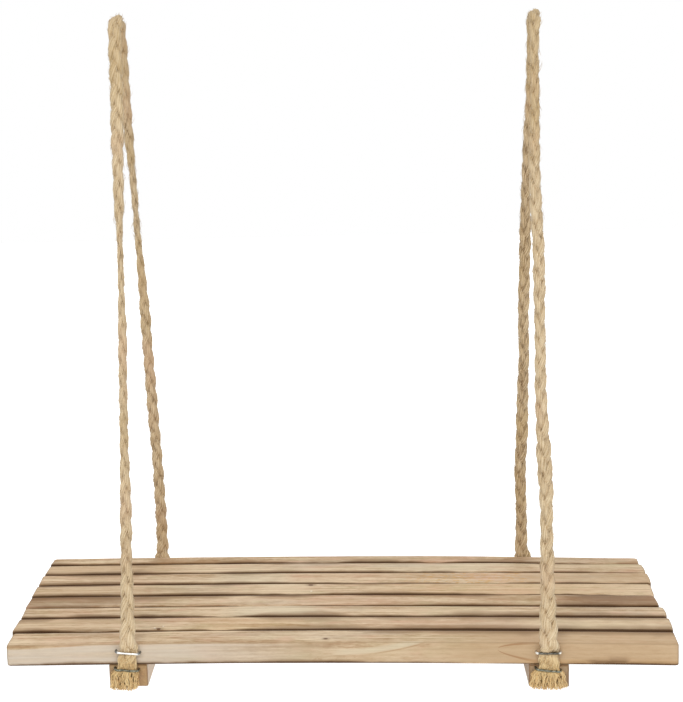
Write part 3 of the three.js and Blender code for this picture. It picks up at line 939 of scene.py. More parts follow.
def rope_fibre(name):
    """Plant fibre: a painted highlight on the proud yarn tops, painted shade in the hollows and towards the
    back of the rope, fine streaks, and golden where it is combed.
    """
    finish = Finish(name)
    fibre = finish.attribute("fibre")
    shade = finish.attribute("shade", out=2)
    place = finish.own_place()
    across, depth, height = place.parts()
    streak = finish.noise(fibre * FIBRE_STREAKS, detail=3, roughness=0.65)
    fleck = finish.noise(place * FLECK_WAVES, detail=1)
    patch = finish.noise(place * PATCH_WAVES, detail=1)
    combed = finish.ramp(height, *COMBED_HEIGHTS)
    # Painted shade: darker towards the back of the rope, more on the right rope than on the left
    shaded = finish.ramp(depth, *SHADED_DEPTHS) * finish.ramp(across, *SHADED_SIDES, *SHADED_SHARES)
    tone = shade + streak * STREAK_TONE + fleck * FLECK_TONE + patch * PATCH_TONE - shaded
    pairs = ((ROPE_DARK, FRAY_DARK), (ROPE_MID, FRAY_MID), (ROPE_LIGHT, FRAY_LIGHT))
    dark, middle, light = (finish.mix(combed, *pair) for pair in pairs)
    base = finish.mix(finish.ramp(tone, *MIDDLE_TONES), dark, middle)
    base = finish.mix(finish.ramp(tone, *LIGHT_TONES), base, light)
    base = finish.coat(base, (finish.ramp(height, *OLIVE_HEIGHTS), OLIVE_SHARE, ROPE_OLIVE))
    for tint, seed in ROPE_TINTS:
        tinted = finish.ramp(finish.noise(place * TINT_WAVES, detail=1, seed=seed), *ROPE_TINT_LEVELS)
        base = finish.coat(base, (tinted * ROPE_TINT_SHARE, 1 - combed, tint))
    return finish.dress(
        Base_Color=base,
        Roughness=0.88,
        Sheen_Weight=0.12,
        Normal=finish.bump(streak + fleck * 0.4, FIBRE_BUMP, 0.8),
    )


# Metal
# The colour on a wire's shoulders is painted light: a dark painted reflection on the bright wire, and a
# painted highlight on the grey wire
STAPLE_METALS = {
    "bright_wire": {
        "tint": colour(226, 226, 224), "roughness": 0.26, "stain": colour(190, 190, 184),
        "stain_share": 0.3, "shoulder": colour(84, 86, 84),
    },
    "dull_wire": {
        "tint": colour(136, 136, 121), "roughness": 0.34, "stain": colour(51, 51, 40), "stain_share": 0.95,
    },
    "grey_wire": {
        "tint": colour(124, 121, 113), "roughness": 0.3, "stain": colour(66, 64, 57),
        "stain_share": 0.8, "shoulder": colour(236, 234, 226),
    },
}
NAIL_METAL = {
    "tint": colour(176, 176, 172), "roughness": 0.42, "stain": colour(116, 92, 70), "stain_share": 0.6,
}
METAL_MOTTLES = 420
METAL_SCRATCHES = Vector((300, 2600, 2600))
METAL_BUMP = 0.00006
STAIN_LEVELS = (-0.3, 0.4)
SHEEN_LEVELS = (-0.6, 0.8)
ROUGHNESS_RANGE = 0.2
SHOULDER_REFLECTION_SHARE = 0.85


def metal(name, tint, roughness, stain, stain_share, shoulder=None):
    """Bright wire with a mottled skin of zinc or rust. A staple's shoulders may get a painted reflection:
    dark on the bright wire, and a painted highlight on the grey wire.
    """
    finish = Finish(name)
    place = finish.own_place()
    mottle = finish.noise(place * METAL_MOTTLES, detail=3)
    scratch = finish.noise(place * METAL_SCRATCHES, detail=1)
    base = finish.mix(finish.ramp(mottle, *STAIN_LEVELS) * stain_share, tint, stain)
    if shoulder:
        low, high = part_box("right_front_upper_staple")
        half = (high.x - low.x) / 2
        middle = (high.x + low.x) / 2 + STAPLE_SHIFTS["right_upper"]
        aside = (place.part(0).math("ABSOLUTE") - middle).math("ABSOLUTE")
        # Painted reflection on the shoulders, near both ends of the staple
        reflection_mask = finish.ramp(aside, half - SHOULDER_REACH, half - SHOULDER_REACH / 2)
        base = finish.coat(base, (reflection_mask, SHOULDER_REFLECTION_SHARE, shoulder))
    return finish.dress(
        Base_Color=base,
        Metallic=1.0,
        Roughness=finish.ramp(mottle, *SHEEN_LEVELS, roughness, roughness + ROUGHNESS_RANGE),
        Normal=finish.bump(scratch + mottle, METAL_BUMP, 0.5),
    )


# Marks on the front slat, in its own X, Y and Z from its middle. The leaf's tip and the grain line's start
# and end are points in X and Z. The other pairs say where a mark begins to show and where it is whole.
WORN_WAVES = Vector((9, 1, 260))
FACE_SIDE = (-0.0125, -0.015)
FACE_LINE_WAVES = Vector((8, 1, 330))
FACE_LINE_LEVELS = (0, 0.7)
FACE_SPOT_WAVES = Vector((190, 1, 260))
FACE_SPOT_LEVELS = (0.05, 0.5)
WASH_STRENGTH = (0.5, 0.72)
WASH_SIDE = (-0.012, -0.0155)
WASH_ALONG = (0.04, -0.2)
WASH_BELOW = (0.0118, 0.0098)
WORN_ARRIS = 0.0038
WORN_ALONG = (-0.24, -0.35)
SPOTS_FROM = (-0.1, -0.03)
SPOTS_TO = (0.06, 0)
SPOTS_BELOW = (0.002, -0.006)
SPOTS_SLOPE = 0.05
LEAF_TIP = (0.1668, 0.0050)
LEAF_SLOPE = 0.08
LEAF_ROUNDNESS = 0.04
LEAF_OPENING = 0.25
LEAF_LINE = (0.24, 0.05)
LEAF_WAVER = 0.1
LEAF_FROM = (-0.0002, 0.0006)
LEAF_TO = (0.055, 0.02)
SMALLEST = 0.00001
GRAIN_START = (-0.003, -0.0024)
GRAIN_END = (0.090, 0.0108)
GRAIN_SAG = 0.004
GRAIN_FROM = (-0.1, 0.15)
GRAIN_TO = (1.1, 0.9)
GRAIN_LINE = (0.0012, 0.0002)
GRAIN_LINE_FROM = (0.25, 0.6)
GRAIN_LINE_WAVER = 0.0008
PALE_BAND_RISE = 0.004
PALE_BAND = (0.005, 0.001)
ARRIS_SIDE = 0.0152
ARRIS_LINE = (0.0007, 0.0001)
ARRIS_ABOVE = (0.009, 0.0105)
ARRIS_WAVER = 0.0004
GOLD_ALONG = (0.14, 0.24)
GOLD_BELOW = (-0.004, -0.009)
GOLD_WAVER = 0.006


def worn_streaks(finish, swing, middle):
    """How strongly a recolouring of a face shows: more or less than middle, by swing."""
    return finish.noise(finish.grain * WORN_WAVES, detail=3, roughness=0.6) * swing + middle


def front_wash(finish):
    """The weathered, paler left part of the front slat's face. It starts lower where the arris is worn."""
    below = finish.z + finish.ramp(finish.x, *WORN_ALONG) * WORN_ARRIS
    pale = finish.ramp(finish.x, *WASH_ALONG) * finish.ramp(finish.y, *WASH_SIDE)
    return pale * worn_streaks(finish, *WASH_STRENGTH) * finish.ramp(below, *WASH_BELOW)


def leaf_figure(finish, fuzz):
    """The outline of a leaf that opens towards the right from its tip."""
    run = finish.x - LEAF_TIP[0]
    rise = finish.z - LEAF_TIP[1] + run * LEAF_SLOPE
    leaf = (rise * rise / (run * LEAF_ROUNDNESS).math("MAXIMUM", SMALLEST)).math("SQRT") / LEAF_OPENING
    outline = finish.ramp((leaf - 1).math("ABSOLUTE") + fuzz * LEAF_WAVER, *LEAF_LINE)
    return outline * finish.ramp(run, *LEAF_FROM) * finish.ramp(run, *LEAF_TO)


def front_marks(finish, fuzz):
    """Painted shade over the whole face, the leaf figure, the curved grain line with its pale band, and the
    thin line along the top arris.
    """
    x, y, z = finish.x, finish.y, finish.z
    face = finish.ramp(y, *FACE_SIDE)
    lines = finish.noise(finish.grain * FACE_LINE_WAVES, detail=3, roughness=0.65, seed=2)
    spots = finish.noise(finish.grain * FACE_SPOT_WAVES, detail=3, roughness=0.7, seed=5)
    speckled = finish.ramp(x, *SPOTS_FROM) * finish.ramp(x, *SPOTS_TO)
    speckled = speckled * finish.ramp(z + x * SPOTS_SLOPE, *SPOTS_BELOW)
    share = (x - GRAIN_START[0]) / (GRAIN_END[0] - GRAIN_START[0])
    sag = share * (1 - share) * GRAIN_SAG * 4
    off = z - (share * (GRAIN_END[1] - GRAIN_START[1]) + GRAIN_START[1] - sag)
    here = finish.ramp(share, *GRAIN_FROM) * finish.ramp(share, *GRAIN_TO) * face
    band = finish.ramp((off - PALE_BAND_RISE).math("ABSOLUTE"), *PALE_BAND)
    line = finish.ramp((off + fuzz * GRAIN_LINE_WAVER).math("ABSOLUTE"), *GRAIN_LINE)
    line = line * finish.ramp(share, *GRAIN_LINE_FROM)
    arris = finish.ramp((y + ARRIS_SIDE).math("ABSOLUTE") + fuzz * ARRIS_WAVER, *ARRIS_LINE)
    gold = finish.ramp(x, *GOLD_ALONG) * finish.ramp(z + fuzz * GOLD_WAVER, *GOLD_BELOW)
    return [
        # Painted shade: the whole front face is darker than the top
        (face, 0.26, WOOD_DULL_TAN_AND_SHADE),
        (finish.ramp(lines, *FACE_LINE_LEVELS) * face, 0.3, WOOD_DULL_TAN_AND_SHADE),
        (finish.ramp(spots, *FACE_SPOT_LEVELS) * speckled * face, 0.5, WOOD_LATE),
        (leaf_figure(finish, fuzz) * face, 0.75, WOOD_LATE),
        (band * here, 0.45, WOOD_MIST),
        (line * here, 0.45, WOOD_LATE),
        (arris * finish.ramp(z, *ARRIS_ABOVE), 0.6, WOOD_DULL_TAN_AND_SHADE),
        (gold * face, 0.3, WOOD_GOLD),
    ]


# Marks on the other boards, each on its own grain
BATTEN_SIDE = (0.0195, 0.0207)
BATTEN_STRENGTH = (0.3, 0.8)
ROUGH_FROM = (0.055, 0.1)
ROUGH_TO = (0.25, 0.2)
ROUGH_WAVES = Vector((150, 420, 200))
ROUGH_WAVER = 0.3
ROUGH_GOLD_LEVELS = (0.0, 0.4)
ROUGH_PALE_LEVELS = (-0.1, -0.5)


def painted_batten_sides(finish):
    """Side faces of a batten in its row's side colour, whose grain runs along its own X and its width along
    Y: paler grey on the left batten, as painted light on a face that sits in shade, and darker grey on the
    right batten.
    """
    return finish.ramp(finish.y.math("ABSOLUTE"), *BATTEN_SIDE) * worn_streaks(finish, *BATTEN_STRENGTH)


def rough_patch(finish, fuzz):
    """Torn, orange-flecked grain towards the right of the sixth slat."""
    here = finish.ramp(finish.x, *ROUGH_FROM) * finish.ramp(finish.x, *ROUGH_TO)
    flecks = finish.noise(finish.grain * ROUGH_WAVES, detail=2, roughness=0.7)
    return [
        (finish.ramp(flecks + fuzz * ROUGH_WAVER, *ROUGH_GOLD_LEVELS) * here, 0.75, WOOD_GOLD),
        (finish.ramp(flecks, *ROUGH_PALE_LEVELS) * here, 0.5, WOOD_MIST),
    ]


# What a board is like where its own row doesn't say
PLAIN_BOARD = {
    "near": (0, 0), "far": (0, 0), "low": 0, "rings": 0.62, "dark": 0, "dark_ends": 0, "end_grain": 0.5,
    "rim": 0.35, "pale": WOOD_PALE, "brown": WOOD_BROWN, "washed": WOOD_WASH, "wash": None, "marks": None,
    "knots": (), "specks": (), "tints": (), "smudges": (), "near_share": 1, "far_share": 1,
    "ends": (0.0, 0.0), "droop": (0.0, 0.0), "reach": (0, 0), "crown": 0.0, "swell": (0.0, 0.0, 1.0),
}
# One row for each slat, from the front: what its wood is like and how its ends and edges run.
# near and far give how strongly each long edge is scorched, and how much more so towards the right.
# smudges name an edge, where they start and end in X, how deep they reach and how dark they are.
SLATS = [
    {"seed": 1, "pith": (-0.004, -0.075), "slope": (0.004, 0.03), "rings": 0.35, "far": (0.9, 0.4),
     "low": 0.9, "ends": (0.0005, 0.001), "near_share": 0, "dark": -0.06,
     "droop": (0.0014, 0.0006), "reach": (0.0006, 0.0008), "wash": front_wash, "marks": front_marks,
     "knots": ((-0.0119, -0.0072, 0.0020),), "tints": ((0.1, 0.4, WOOD_TAN, 0.7),),
     "smudges": (("far", -0.307, -0.234, 0.006, 0.6), ("far", -0.34, -0.307, 0.008, 0.4),
                 ("far", -0.092, -0.024, 0.008, 0.5), ("low", -0.256, -0.236, 0.0035, 0.8),
                 ("low", -0.195, -0.143, 0.004, 0.6), ("low", -0.035, 0.017, 0.004, 0.5),
                 ("low", 0.235, 0.36, 0.0056, 1.6), ("low", 0.255, 0.303, 0.0085, 1.4),
                 ("low", 0.278, 0.303, 0.012, 1.1))},
    {"seed": 2, "pith": (0.030, -0.06), "slope": (0.02, 0.01), "near": (0.9, 0.5), "far": (1.0, 0.2),
     "ends": (0.001, 0.002), "reach": (0, 0.0012), "crown": 0.0008, "knots": ((-0.193, -0.0148, 0.0020),),
     "specks": ((-0.1975, -0.0125, 0.0013), (-0.189, -0.008, 0.0012)),
     "tints": ((-0.16, -0.04, WOOD_GOLD, 0.16), (0.02, 0.2, WOOD_PINK, 0.2), (0.2, 0.4, WOOD_PALE, 0.4),
               (-0.4, -0.24, WOOD_TAN, 0.3)),
     "smudges": (("far", -0.295, -0.237, 0.009, 0.8), ("far", -0.222, -0.2, 0.008, 0.7),
                 ("far", 0.236, 0.345, 0.004, 0.6), ("near", -0.307, -0.234, 0.005, 0.6),
                 ("near", -0.33, -0.307, 0.006, 0.4))},
    {"seed": 3, "pith": (-0.050, -0.03), "slope": (0.012, 0.02), "near": (1.1, 0.1), "far": (0.55, 0.5),
     "ends": (-0.001, 0.001), "reach": (0, 0.0018), "crown": 0.0014, "swell": (0.0012, -0.07, 0.17),
     "dark": -0.04,
     "tints": ((-0.12, -0.02, WOOD_MIST, 0.38), (-0.02, 0.2, WOOD_PALE, 0.2)),
     "smudges": (("far", -0.352, -0.267, 0.006, 0.6), ("far", 0.24, 0.314, 0.009, 0.7),
                 ("far", -0.026, 0.03, 0.004, 0.4), ("near", -0.295, -0.237, 0.009, 0.85),
                 ("near", -0.222, -0.2, 0.009, 0.8), ("near", -0.2, -0.15, 0.006, 0.6),
                 ("near", -0.12, -0.045, 0.004, 0.5))},
    {"seed": 4, "pith": (0.012, -0.064), "slope": (0.008, 0.02), "near": (0.6, 0.6), "far": (1.1, -0.5),
     "ends": (0.001, -0.001), "reach": (0, 0.0007), "crown": 0.0008, "dark": 0.05, "dark_ends": 0.25,
     "tints": ((0.24, 0.38, WOOD_UMBER, 0.6), (-0.38, -0.24, WOOD_UMBER, 0.4),
               (-0.05, 0.08, WOOD_PINK, 0.25)),
     "smudges": (("far", -0.35, -0.24, 0.009, 0.8), ("far", -0.1, -0.035, 0.012, 0.8),
                 ("far", 0.256, 0.346, 0.015, 0.6), ("near", -0.352, -0.267, 0.006, 0.7),
                 ("near", 0.24, 0.314, 0.010, 0.8))},
    {"seed": 5, "pith": (-0.04, 0.05), "slope": (0.01, -0.01), "near": (0.8, -0.3), "far": (0.8, -0.3),
     "ends": (0.0, 0.001), "reach": (0, 0.0008), "crown": 0.0004, "dark": -0.14,
     "knots": ((-0.032, 0.0105, 0.0026),), "specks": ((-0.0305, -0.008, 0.0016),),
     "tints": ((0.02, 0.34, WOOD_GOLD, 0.2), (-0.09, -0.03, WOOD_PALE, 0.4), (-0.4, -0.2, WOOD_TAN, 0.3)),
     "smudges": (("far", -0.36, -0.25, 0.009, 0.75), ("far", -0.24, -0.16, 0.005, 0.5),
                 ("far", 0.28, 0.352, 0.004, 0.6), ("near", -0.35, -0.24, 0.009, 0.8),
                 ("near", -0.234, -0.157, 0.006, 0.5), ("near", -0.01, 0.016, 0.007, 0.35))},
    {"seed": 6, "pith": (0.03, -0.06), "slope": (0.014, 0.02), "near": (0.7, -0.4), "far": (0.8, -0.3),
     "ends": (-0.001, 0.001), "reach": (0, 0.0022), "crown": 0.0010, "marks": rough_patch,
     "tints": ((-0.15, -0.06, WOOD_MIST, 0.3), (0.2, 0.4, WOOD_TAN, 0.4)),
     "smudges": (("far", -0.31, -0.25, 0.006, 0.6), ("far", -0.03, 0.06, 0.005, 0.5),
                 ("near", -0.36, -0.25, 0.009, 0.75), ("near", -0.32, -0.25, 0.011, 0.6),
                 ("near", -0.24, -0.16, 0.005, 0.6))},
    {"seed": 7, "pith": (-0.06, -0.03), "slope": (0.018, 0.01), "near": (0.8, -0.3), "far": (0.8, 0.0),
     "ends": (0.001, 0.0), "reach": (0, 0.0034), "crown": 0.0016, "droop": (0.0, 0.0011), "dark": -0.06,
     "tints": ((0.04, 0.2, WOOD_MIST, 0.25), (-0.4, -0.2, WOOD_TAN, 0.45)),
     "smudges": (("far", -0.045, 0.0, 0.008, 0.75), ("far", 0.0, 0.135, 0.004, 0.7),
                 ("far", 0.255, 0.35, 0.004, 0.5), ("near", -0.31, -0.25, 0.007, 0.65),
                 ("near", -0.03, 0.06, 0.006, 0.7), ("near", 0.21, 0.235, 0.005, 0.6),
                 ("near", 0.25, 0.302, 0.006, 0.8), ("near", 0.3, 0.352, 0.004, 0.6))},
    {"seed": 8, "pith": (0.01, -0.07), "slope": (0.008, 0.02), "near": (1.0, 0.0), "far_share": 0,
     "ends": (0.001, 0.001), "reach": (0, 0.0022), "crown": 0.0005, "droop": (0.0, 0.0026), "dark": 0.1,
     "smudges": (("near", -0.045, 0.0, 0.005, 0.5),)},
]
# Each batten's side colour covers its side faces: paler grey on the left batten as painted light, darker
# grey on the right batten
BATTENS = {
    "left": {"seed": 21, "pith": (0.006, -0.03), "slope": (0.01, 0.004), "rings": 0.8,
             "dark": 0.2, "brown": colour(160, 116, 66), "pale": colour(214, 174, 118),
             "wash": painted_batten_sides, "washed": colour(186, 178, 169), "rim": 0.75},
    "right": {"seed": 22, "pith": (-0.01, 0.03), "slope": (0.008, 0.006), "rings": 0.8,
              "dark": 0.2, "brown": colour(144, 118, 90), "pale": colour(196, 178, 150),
              "wash": painted_batten_sides, "washed": colour(146, 134, 120), "end_grain": 0.75, "rim": 0.9},
}
TREES = {"board": board_tree(), "plait": plait_tree(), "fray": fray_tree(), "wire": wire_tree()}


def fitted(piece, body, slot, *nodes):
    """Makes a piece ride on its body, in place of CAD nodes if it has any. Its slot is not used."""
    if nodes:
        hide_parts(*nodes)
    if body:
        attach(piece, body)
    return piece


def make_board(node, row, slot, sizes):
    board = {**PLAIN_BOARD, **row}
    low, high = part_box(node)
    left_reach, right_reach = board["reach"]
    low.x -= left_reach
    high.x += right_reach
    extent = high - low
    size = Vector((extent.y, extent.x, extent.z)) if "Turn" in sizes else extent
    ends = {
        f"{side} {label}": pair[at]
        for label, pair in (("Slant", board["ends"]), ("Droop", board["droop"]))
        for at, side in enumerate(("Left", "Right"))
    }
    swell = dict(zip(("Far Swell", "Swell Middle", "Swell Reach"), board["swell"]))
    piece = grow(f"{node}_board", TREES["board"], {
        **BOARD_SIZES, **ends, **swell, "Size": size, "Centre": (low + high) / 2,
        "Right Crown": board["crown"], "Seed": float(board["seed"]),
        "Near Wander": EDGE_WANDER * board["near_share"], "Far Wander": EDGE_WANDER * board["far_share"],
        "Material": wood(f"{node}_board_wood", board, size), **sizes,
    })
    fitted(piece, "deck", slot, node)


def make_boards():
    rope_reach = abs(joint_place("left_rope_sway").x)
    for number, row in enumerate(SLATS, start=1):
        make_board(f"slat_{number}", row, "slat_wood", {**SLAT_SIZES, "Bow Reach": rope_reach})
    for side, row in BATTENS.items():
        make_board(f"{side}_batten", row, "batten_wood", BATTEN_SIZES)


def joint_place(name):
    return Vector(next(joint["pos_m"] for joint in frame["joints"] if joint["name"] == name))


def deck_back():
    """Where the deck's back face is in Y. Its front face is as far the other way."""
    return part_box(f"slat_{len(SLATS)}")[1].y


def ease(share):
    share = min(max(share, 0), 1)
    return share * share * (3 - 2 * share)


def between(stops, place):
    """The value at a place between stops, eased from one stop to the next."""
    places = sorted(stops)
    if place <= places[0]:
        return stops[places[0]]
    for low, high in zip(places, places[1:]):
        if place <= high:
            return stops[low] + (stops[high] - stops[low]) * ease((place - low) / (high - low))
    return stops[places[-1]]


def by_leg(table, side, point, bottom):
    """The value for a point of a rope, from its front leg's row, its back leg's row, or between the two."""
    front, back = (between(table[f"{side}_{face}"], point.z - bottom) for face in ("front", "back"))
    return front + (back - front) * ease((point.y / ROPE_BEND_RADIUS + 1) / 2)


def runs_along(points):
    """How far along a line each of its points lies."""
    runs = [0.0]
    for before, after in zip(points, points[1:]):
        runs.append(runs[-1] + (after - before).length)
    return runs


def refined(points, step):
    """The same line with more points on it, no further apart than step."""
    line = []
    for before, after in zip(points, points[1:]):
        count = math.ceil((after - before).length / step)
        line += [before.lerp(after, part / count) for part in range(count)]
    return [*line, points[-1]]


def stub_end(end, inner):
    """The point a stub's length past the end of a line whose next point is inner."""
    return end + (end - inner).normalized() * STUB


def rope_route(side):
    """The line of one rope, from its front lower pivot up over the hook and down to its back one."""
    radius = ROPE_BEND_RADIUS
    half_rope = ROPE_SIDES[side]["diameter"] / 2
    x = joint_place(f"{side}_rope_sway").x
    bend_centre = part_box(f"{side}_rope_top")[1].z - half_rope - radius
    lower = Vector((deck_back() + SEAT + half_rope, joint_place("deck_level").z))
    rise = Vector((lower.x, bend_centre - lower.y))
    slope = math.atan2(rise.x, rise.y) - math.asin(radius / rise.length)
    tangent = Vector((radius * math.cos(slope), bend_centre + radius * math.sin(slope)))
    leg = [lower + (tangent - lower) * step / LEG_STOPS for step in range(LEG_STOPS + 1)]
    bend = [
        Vector((radius * math.cos(angle), bend_centre + radius * math.sin(angle)))
        for angle in (slope + (math.pi - 2 * slope) * step / BEND_STOPS for step in range(1, BEND_STOPS))
    ]
    points = [Vector((x, -y, z)) for y, z in leg + bend] + [Vector((x, y, z)) for y, z in reversed(leg)]
    return [point + Vector((by_leg(LEG_SHIFTS, side, point, lower.y), 0, 0)) for point in points]


def make_plait(name, side, points, wander=ROPE_WANDER, **shares):
    """A plait along points, with its width, depth, fullness and looseness at each point as shares."""
    rope = ROPE_SIDES[side]
    return grow(name, TREES["plait"], {
        **PLAIT_SIZES, **{label: rope["diameter"] * share for label, share in PLAIT_SHARES.items()},
        "Pitch": rope["pitch"], "Wander": wander, "Over": float(rope["over"]), "Seed": rope["seed"],
        "Material": JUTE,
    }, guide_line(name, points, **shares))


def make_rope(side):
    """One whole loop between its lower pivots, bent over its hook where it sways."""
    route = rope_route(side)
    length = runs_along(route)[-1]
    path = [stub_end(route[0], route[1]), *route, stub_end(route[-1], route[-2])]
    points = refined(path, GUIDE_STEP)
    along = [run - STUB for run in runs_along(points)]
    piece = make_plait(
        f"{side}_rope_plait", side, points, along=along,
        spread=[by_leg(LEG_WIDTH_SHARES, side, point, route[0].z) for point in points],
        press=[1.0] * len(along),
        full=[1 - STUB_THINNING * (run < 0 or run > length) for run in along],
        loose=[ease(min(run, length - run) / FLARE_RUN) for run in along],
    )
    fitted(piece, None, "rope_fibre", *(f"{side}_rope_{part}" for part in ("top", "front_leg", "back_leg")))
    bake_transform(piece)
    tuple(path[0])


def tail_heights():
    """How high the lower pivots, the upper staples and the lower staples are."""
    deck_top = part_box("slat_1")[1].z
    return joint_place("deck_level").z, deck_top - UPPER_STAPLE_DROP, deck_top - LOWER_STAPLE_DROP


def tail_stops(side, face):
    """Heights down a stapled rope end, each with its width, depth, fullness and looseness as shares."""
    diameter = ROPE_SIDES[side]["diameter"]
    pivot, upper, lower = tail_heights()
    flare = LEG_WIDTH_SHARES[f"{side}_{face}"][0]
    waist = FRAY_SIDES[side, face]["waist"] / diameter
    press = PINCHED_DEPTH / (diameter * PLAIT_SHARES["Depth"])
    return [
        (pivot + STUB, flare, 1.0, 1 - STUB_THINNING, 0.0),
        (pivot, flare, 1.0, 1.0, 0.0),
        (pivot * 0.6 + upper * 0.4, waist, 0.85, 1.0, TAIL_HAIR_SHARE * 0.4),
        (upper, waist * 0.97, press, 1.0, TAIL_HAIR_SHARE),
        ((upper + lower) / 2, waist * 1.04, press * 1.45, 1.0, TAIL_HAIR_SHARE),
        (lower, waist, press, 1.0, TAIL_HAIR_SHARE),
        (lower - STUB, waist, press * 0.8, 0.8, TAIL_HAIR_SHARE),
    ]


def make_tail(side, face):
    """The stapled end of a rope, plaited down to its lower staple."""
    rope = ROPE_SIDES[side]
    x = joint_place(f"{side}_rope_sway").x
    thickness = rope["diameter"] * PLAIT_SHARES["Depth"]
    heights, spread, pressing, full, loose = (list(column) for column in zip(*tail_stops(side, face)))
    drifts = dict(zip(tail_heights(), rope["drift"]))
    points = []
    for z, pressed in zip(heights, pressing):
        out = max(pressed * thickness, PINCHED_DEPTH) / 2
        points.append(Vector((x + between(drifts, z), OUTWARD[face] * (deck_back() + SEAT + out), z)))
    route = rope_route(side)
    start, towards = (route[0], route[1]) if face == "front" else (route[-1], route[-2])
    points[:2] = [start + (towards - start).normalized() * STUB, start]
    runs = runs_along(points)
    length = runs_along(route)[-1]
    along = [runs[1] - run if face == "front" else length - runs[1] + run for run in runs]
    plait = make_plait(
        f"{side}_rope_{face}_tail", side, points, wander=0.0,
        along=along, spread=spread, press=pressing, full=full, loose=loose,
    )
    return fitted(plait, "deck", "rope_fibre", f"{side}_rope_{face}_end")


def make_fray(side, face):
    """The frayed fibres of a stapled rope end, which start between its two staples."""
    fray = FRAY_SIDES[side, face]
    drop = fray["drop"] - FRAY_START_DROP
    brush = grow(f"{side}_rope_{face}_fray", TREES["fray"], {
        **FRAY_SIZES, "Centre": joint_place(f"{side}_rope_sway").x + ROPE_SIDES[side]["drift"][2],
        "Face": OUTWARD[face] * (deck_back() + SEAT), "Side": float(OUTWARD[face]),
        "Top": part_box("slat_1")[1].z - FRAY_START_DROP, "Drop": drop, "Waist": fray["waist"],
        "Fan": fray["fan"], "Lean": fray["lean"],
        "Pinch Share": (LOWER_STAPLE_DROP - FRAY_START_DROP) / drop, "Seed": fray["seed"],
        "Material": JUTE,
    })
    return fitted(brush, "deck", "rope_fibre")


def staple_points(node, direction, kind):
    """The line of a staple's wire: out of the wood, along its crown and back, with round shoulders."""
    tilt = math.radians(STAPLE_TILTS[kind])
    low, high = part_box(node)
    centre = (low + high) / 2
    crown = max(abs(low.y), abs(high.y)) - STAPLE_RADIUS
    bend = STAPLE_BEND_RADIUS
    half = (high.x - low.x) / 2 - STAPLE_RADIUS
    corner = [math.pi / 2 * step / STAPLE_BEND_STEPS for step in range(STAPLE_BEND_STEPS + 1)]
    right = [
        (half - bend + bend * math.sin(angle), crown - bend + bend * math.cos(angle)) for angle in corner
    ]
    right.append((half, deck_back() - STAPLE_BITE))
    outline = [(-across, out) for across, out in reversed(right)] + right
    aside, up = math.cos(tilt), direction * math.sin(tilt)
    return [
        Vector((centre.x + STAPLE_SHIFTS[kind] + across * aside, direction * out, centre.z + across * up))
        for across, out in outline
    ]


def make_staples():
    skins = {name: metal(name, **look) for name, look in STAPLE_METALS.items()}
    for side in ROPE_SIDES:
        for face, direction in OUTWARD.items():
            for level in ("upper", "lower"):
                node = f"{side}_{face}_{level}_staple"
                points = staple_points(node, direction, f"{side}_{level}")
                skin = "dull_wire" if level == "lower" else "bright_wire" if side == "left" else "grey_wire"
                wire = grow(f"{node}_wire", TREES["wire"], {
                    "Radius": STAPLE_RADIUS, "Step": STAPLE_STEP, "Wobble": STAPLE_WOBBLE[level],
                    "Wobble Wave": WOBBLE_WAVE, "Seed": float(len(node) + direction),
                    "Material": skins[skin],
                }, guide_line(node, points))
                fitted(wire, "deck", "staple_wire", node)


def dress_nails():
    steel = metal("nail_steel", **NAIL_METAL)
    for name, node in frame["nodes"].items():
        if "_nail_" in name:
            node.data.materials.clear()
            node.data.materials.append(steel)


# Camera, stage and lights


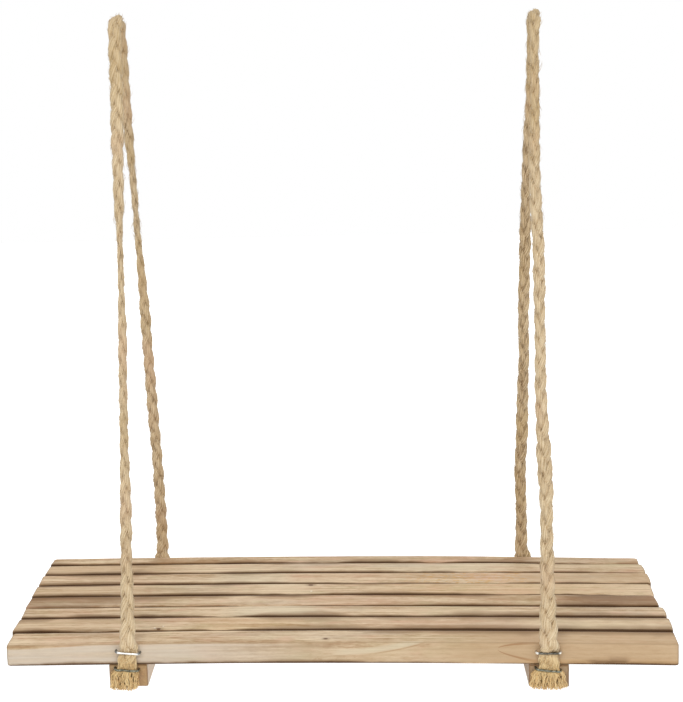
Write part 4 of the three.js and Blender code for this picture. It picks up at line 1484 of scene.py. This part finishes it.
def make_camera():
    forward = Vector((
        math.sin(CAMERA_YAW) * math.cos(CAMERA_PITCH),
        math.cos(CAMERA_YAW) * math.cos(CAMERA_PITCH),
        -math.sin(CAMERA_PITCH),
    ))
    level_right = Vector((math.cos(CAMERA_YAW), -math.sin(CAMERA_YAW), 0))
    level_up = level_right.cross(forward)
    right = level_right * math.cos(CAMERA_ROLL) + level_up * math.sin(CAMERA_ROLL)
    up = level_up * math.cos(CAMERA_ROLL) - level_right * math.sin(CAMERA_ROLL)
    camera = place_object("camera", bpy.data.cameras.new("camera"))
    turn = Matrix((right, up, -forward)).transposed().to_4x4()
    camera.matrix_world = Matrix.Translation(CAMERA_PLACE) @ turn
    camera.data.sensor_width = SENSOR_MM
    camera.data.lens = LENS_PIXELS * SENSOR_MM / PHOTO_HEIGHT
    camera.data.shift_x = (PHOTO_WIDTH / 2 - LENS_AXIS_PIXEL[0]) / PHOTO_HEIGHT
    camera.data.shift_y = (LENS_AXIS_PIXEL[1] - PHOTO_HEIGHT / 2) / PHOTO_HEIGHT
    bpy.context.scene.camera = camera


def seen_directly(tree):
    """1 where the camera, a reflection or a clear view meets a surface, and 0 where light only bounces."""
    outputs = tree.add("ShaderNodeLightPath").socket.node.outputs
    wires = [Wire(tree, outputs[f"Is {kind} Ray"]) for kind in ("Camera", "Glossy", "Transmission")]
    return wires[0].math("MAXIMUM", wires[1]).math("MAXIMUM", wires[2])


def make_world():
    world = bpy.data.worlds.new("studio")
    world.use_nodes = True
    bpy.context.scene.world = world
    tree = Tree(world.node_tree)
    background = world.node_tree.nodes["Background"]
    tree.feed(background.inputs["Color"], WHITE)
    tree.feed(background.inputs["Strength"], tree.mix(seen_directly(tree), WORLD_LEVEL, 1.0, kind="FLOAT"))


def make_floor():
    """A pale floor well under the shelf. It shows white, and keeps the shadow."""
    half = FLOOR_SIZE / 2
    corners = [(-half, -half), (half, -half), (half, half), (-half, half)]
    mesh = bpy.data.meshes.new("floor")
    mesh.from_pydata([(x, y, FLOOR_LEVEL) for x, y in corners], [], [(0, 1, 2, 3)])
    finish = Finish("floor")
    off = finish.own_place().math("LENGTH")
    glow = seen_directly(finish) * finish.ramp(off, SHADOW_REACH, SHADOW_REACH * 2, SHADOW_GLOW, 1)
    mesh.materials.append(finish.dress(
        Base_Color=FLOOR_COLOUR, Roughness=1.0, Emission_Color=WHITE, Emission_Strength=glow,
    ))
    place_object("floor", mesh)


def make_lights():
    for name, setup in LIGHTS.items():
        lamp = bpy.data.lights.new(name, "AREA")
        lamp.energy = setup["power"]
        lamp.size = setup["size"]
        light = place_object(name, lamp)
        light.location = setup["place"]
        light.rotation_euler = (TARGET - setup["place"]).to_track_quat("-Z", "Y").to_euler()


make_camera()
JUTE = rope_fibre("jute")
for rope_side in ROPE_SIDES:
    rope_ends = [make(rope_side, rope_face) for rope_face in OUTWARD for make in (make_tail, make_fray)]
    make_rope(rope_side)
make_boards()
make_staples()
dress_nails()
make_world()
make_floor()
make_lights()
bpy.context.scene.view_settings.view_transform = "Standard"
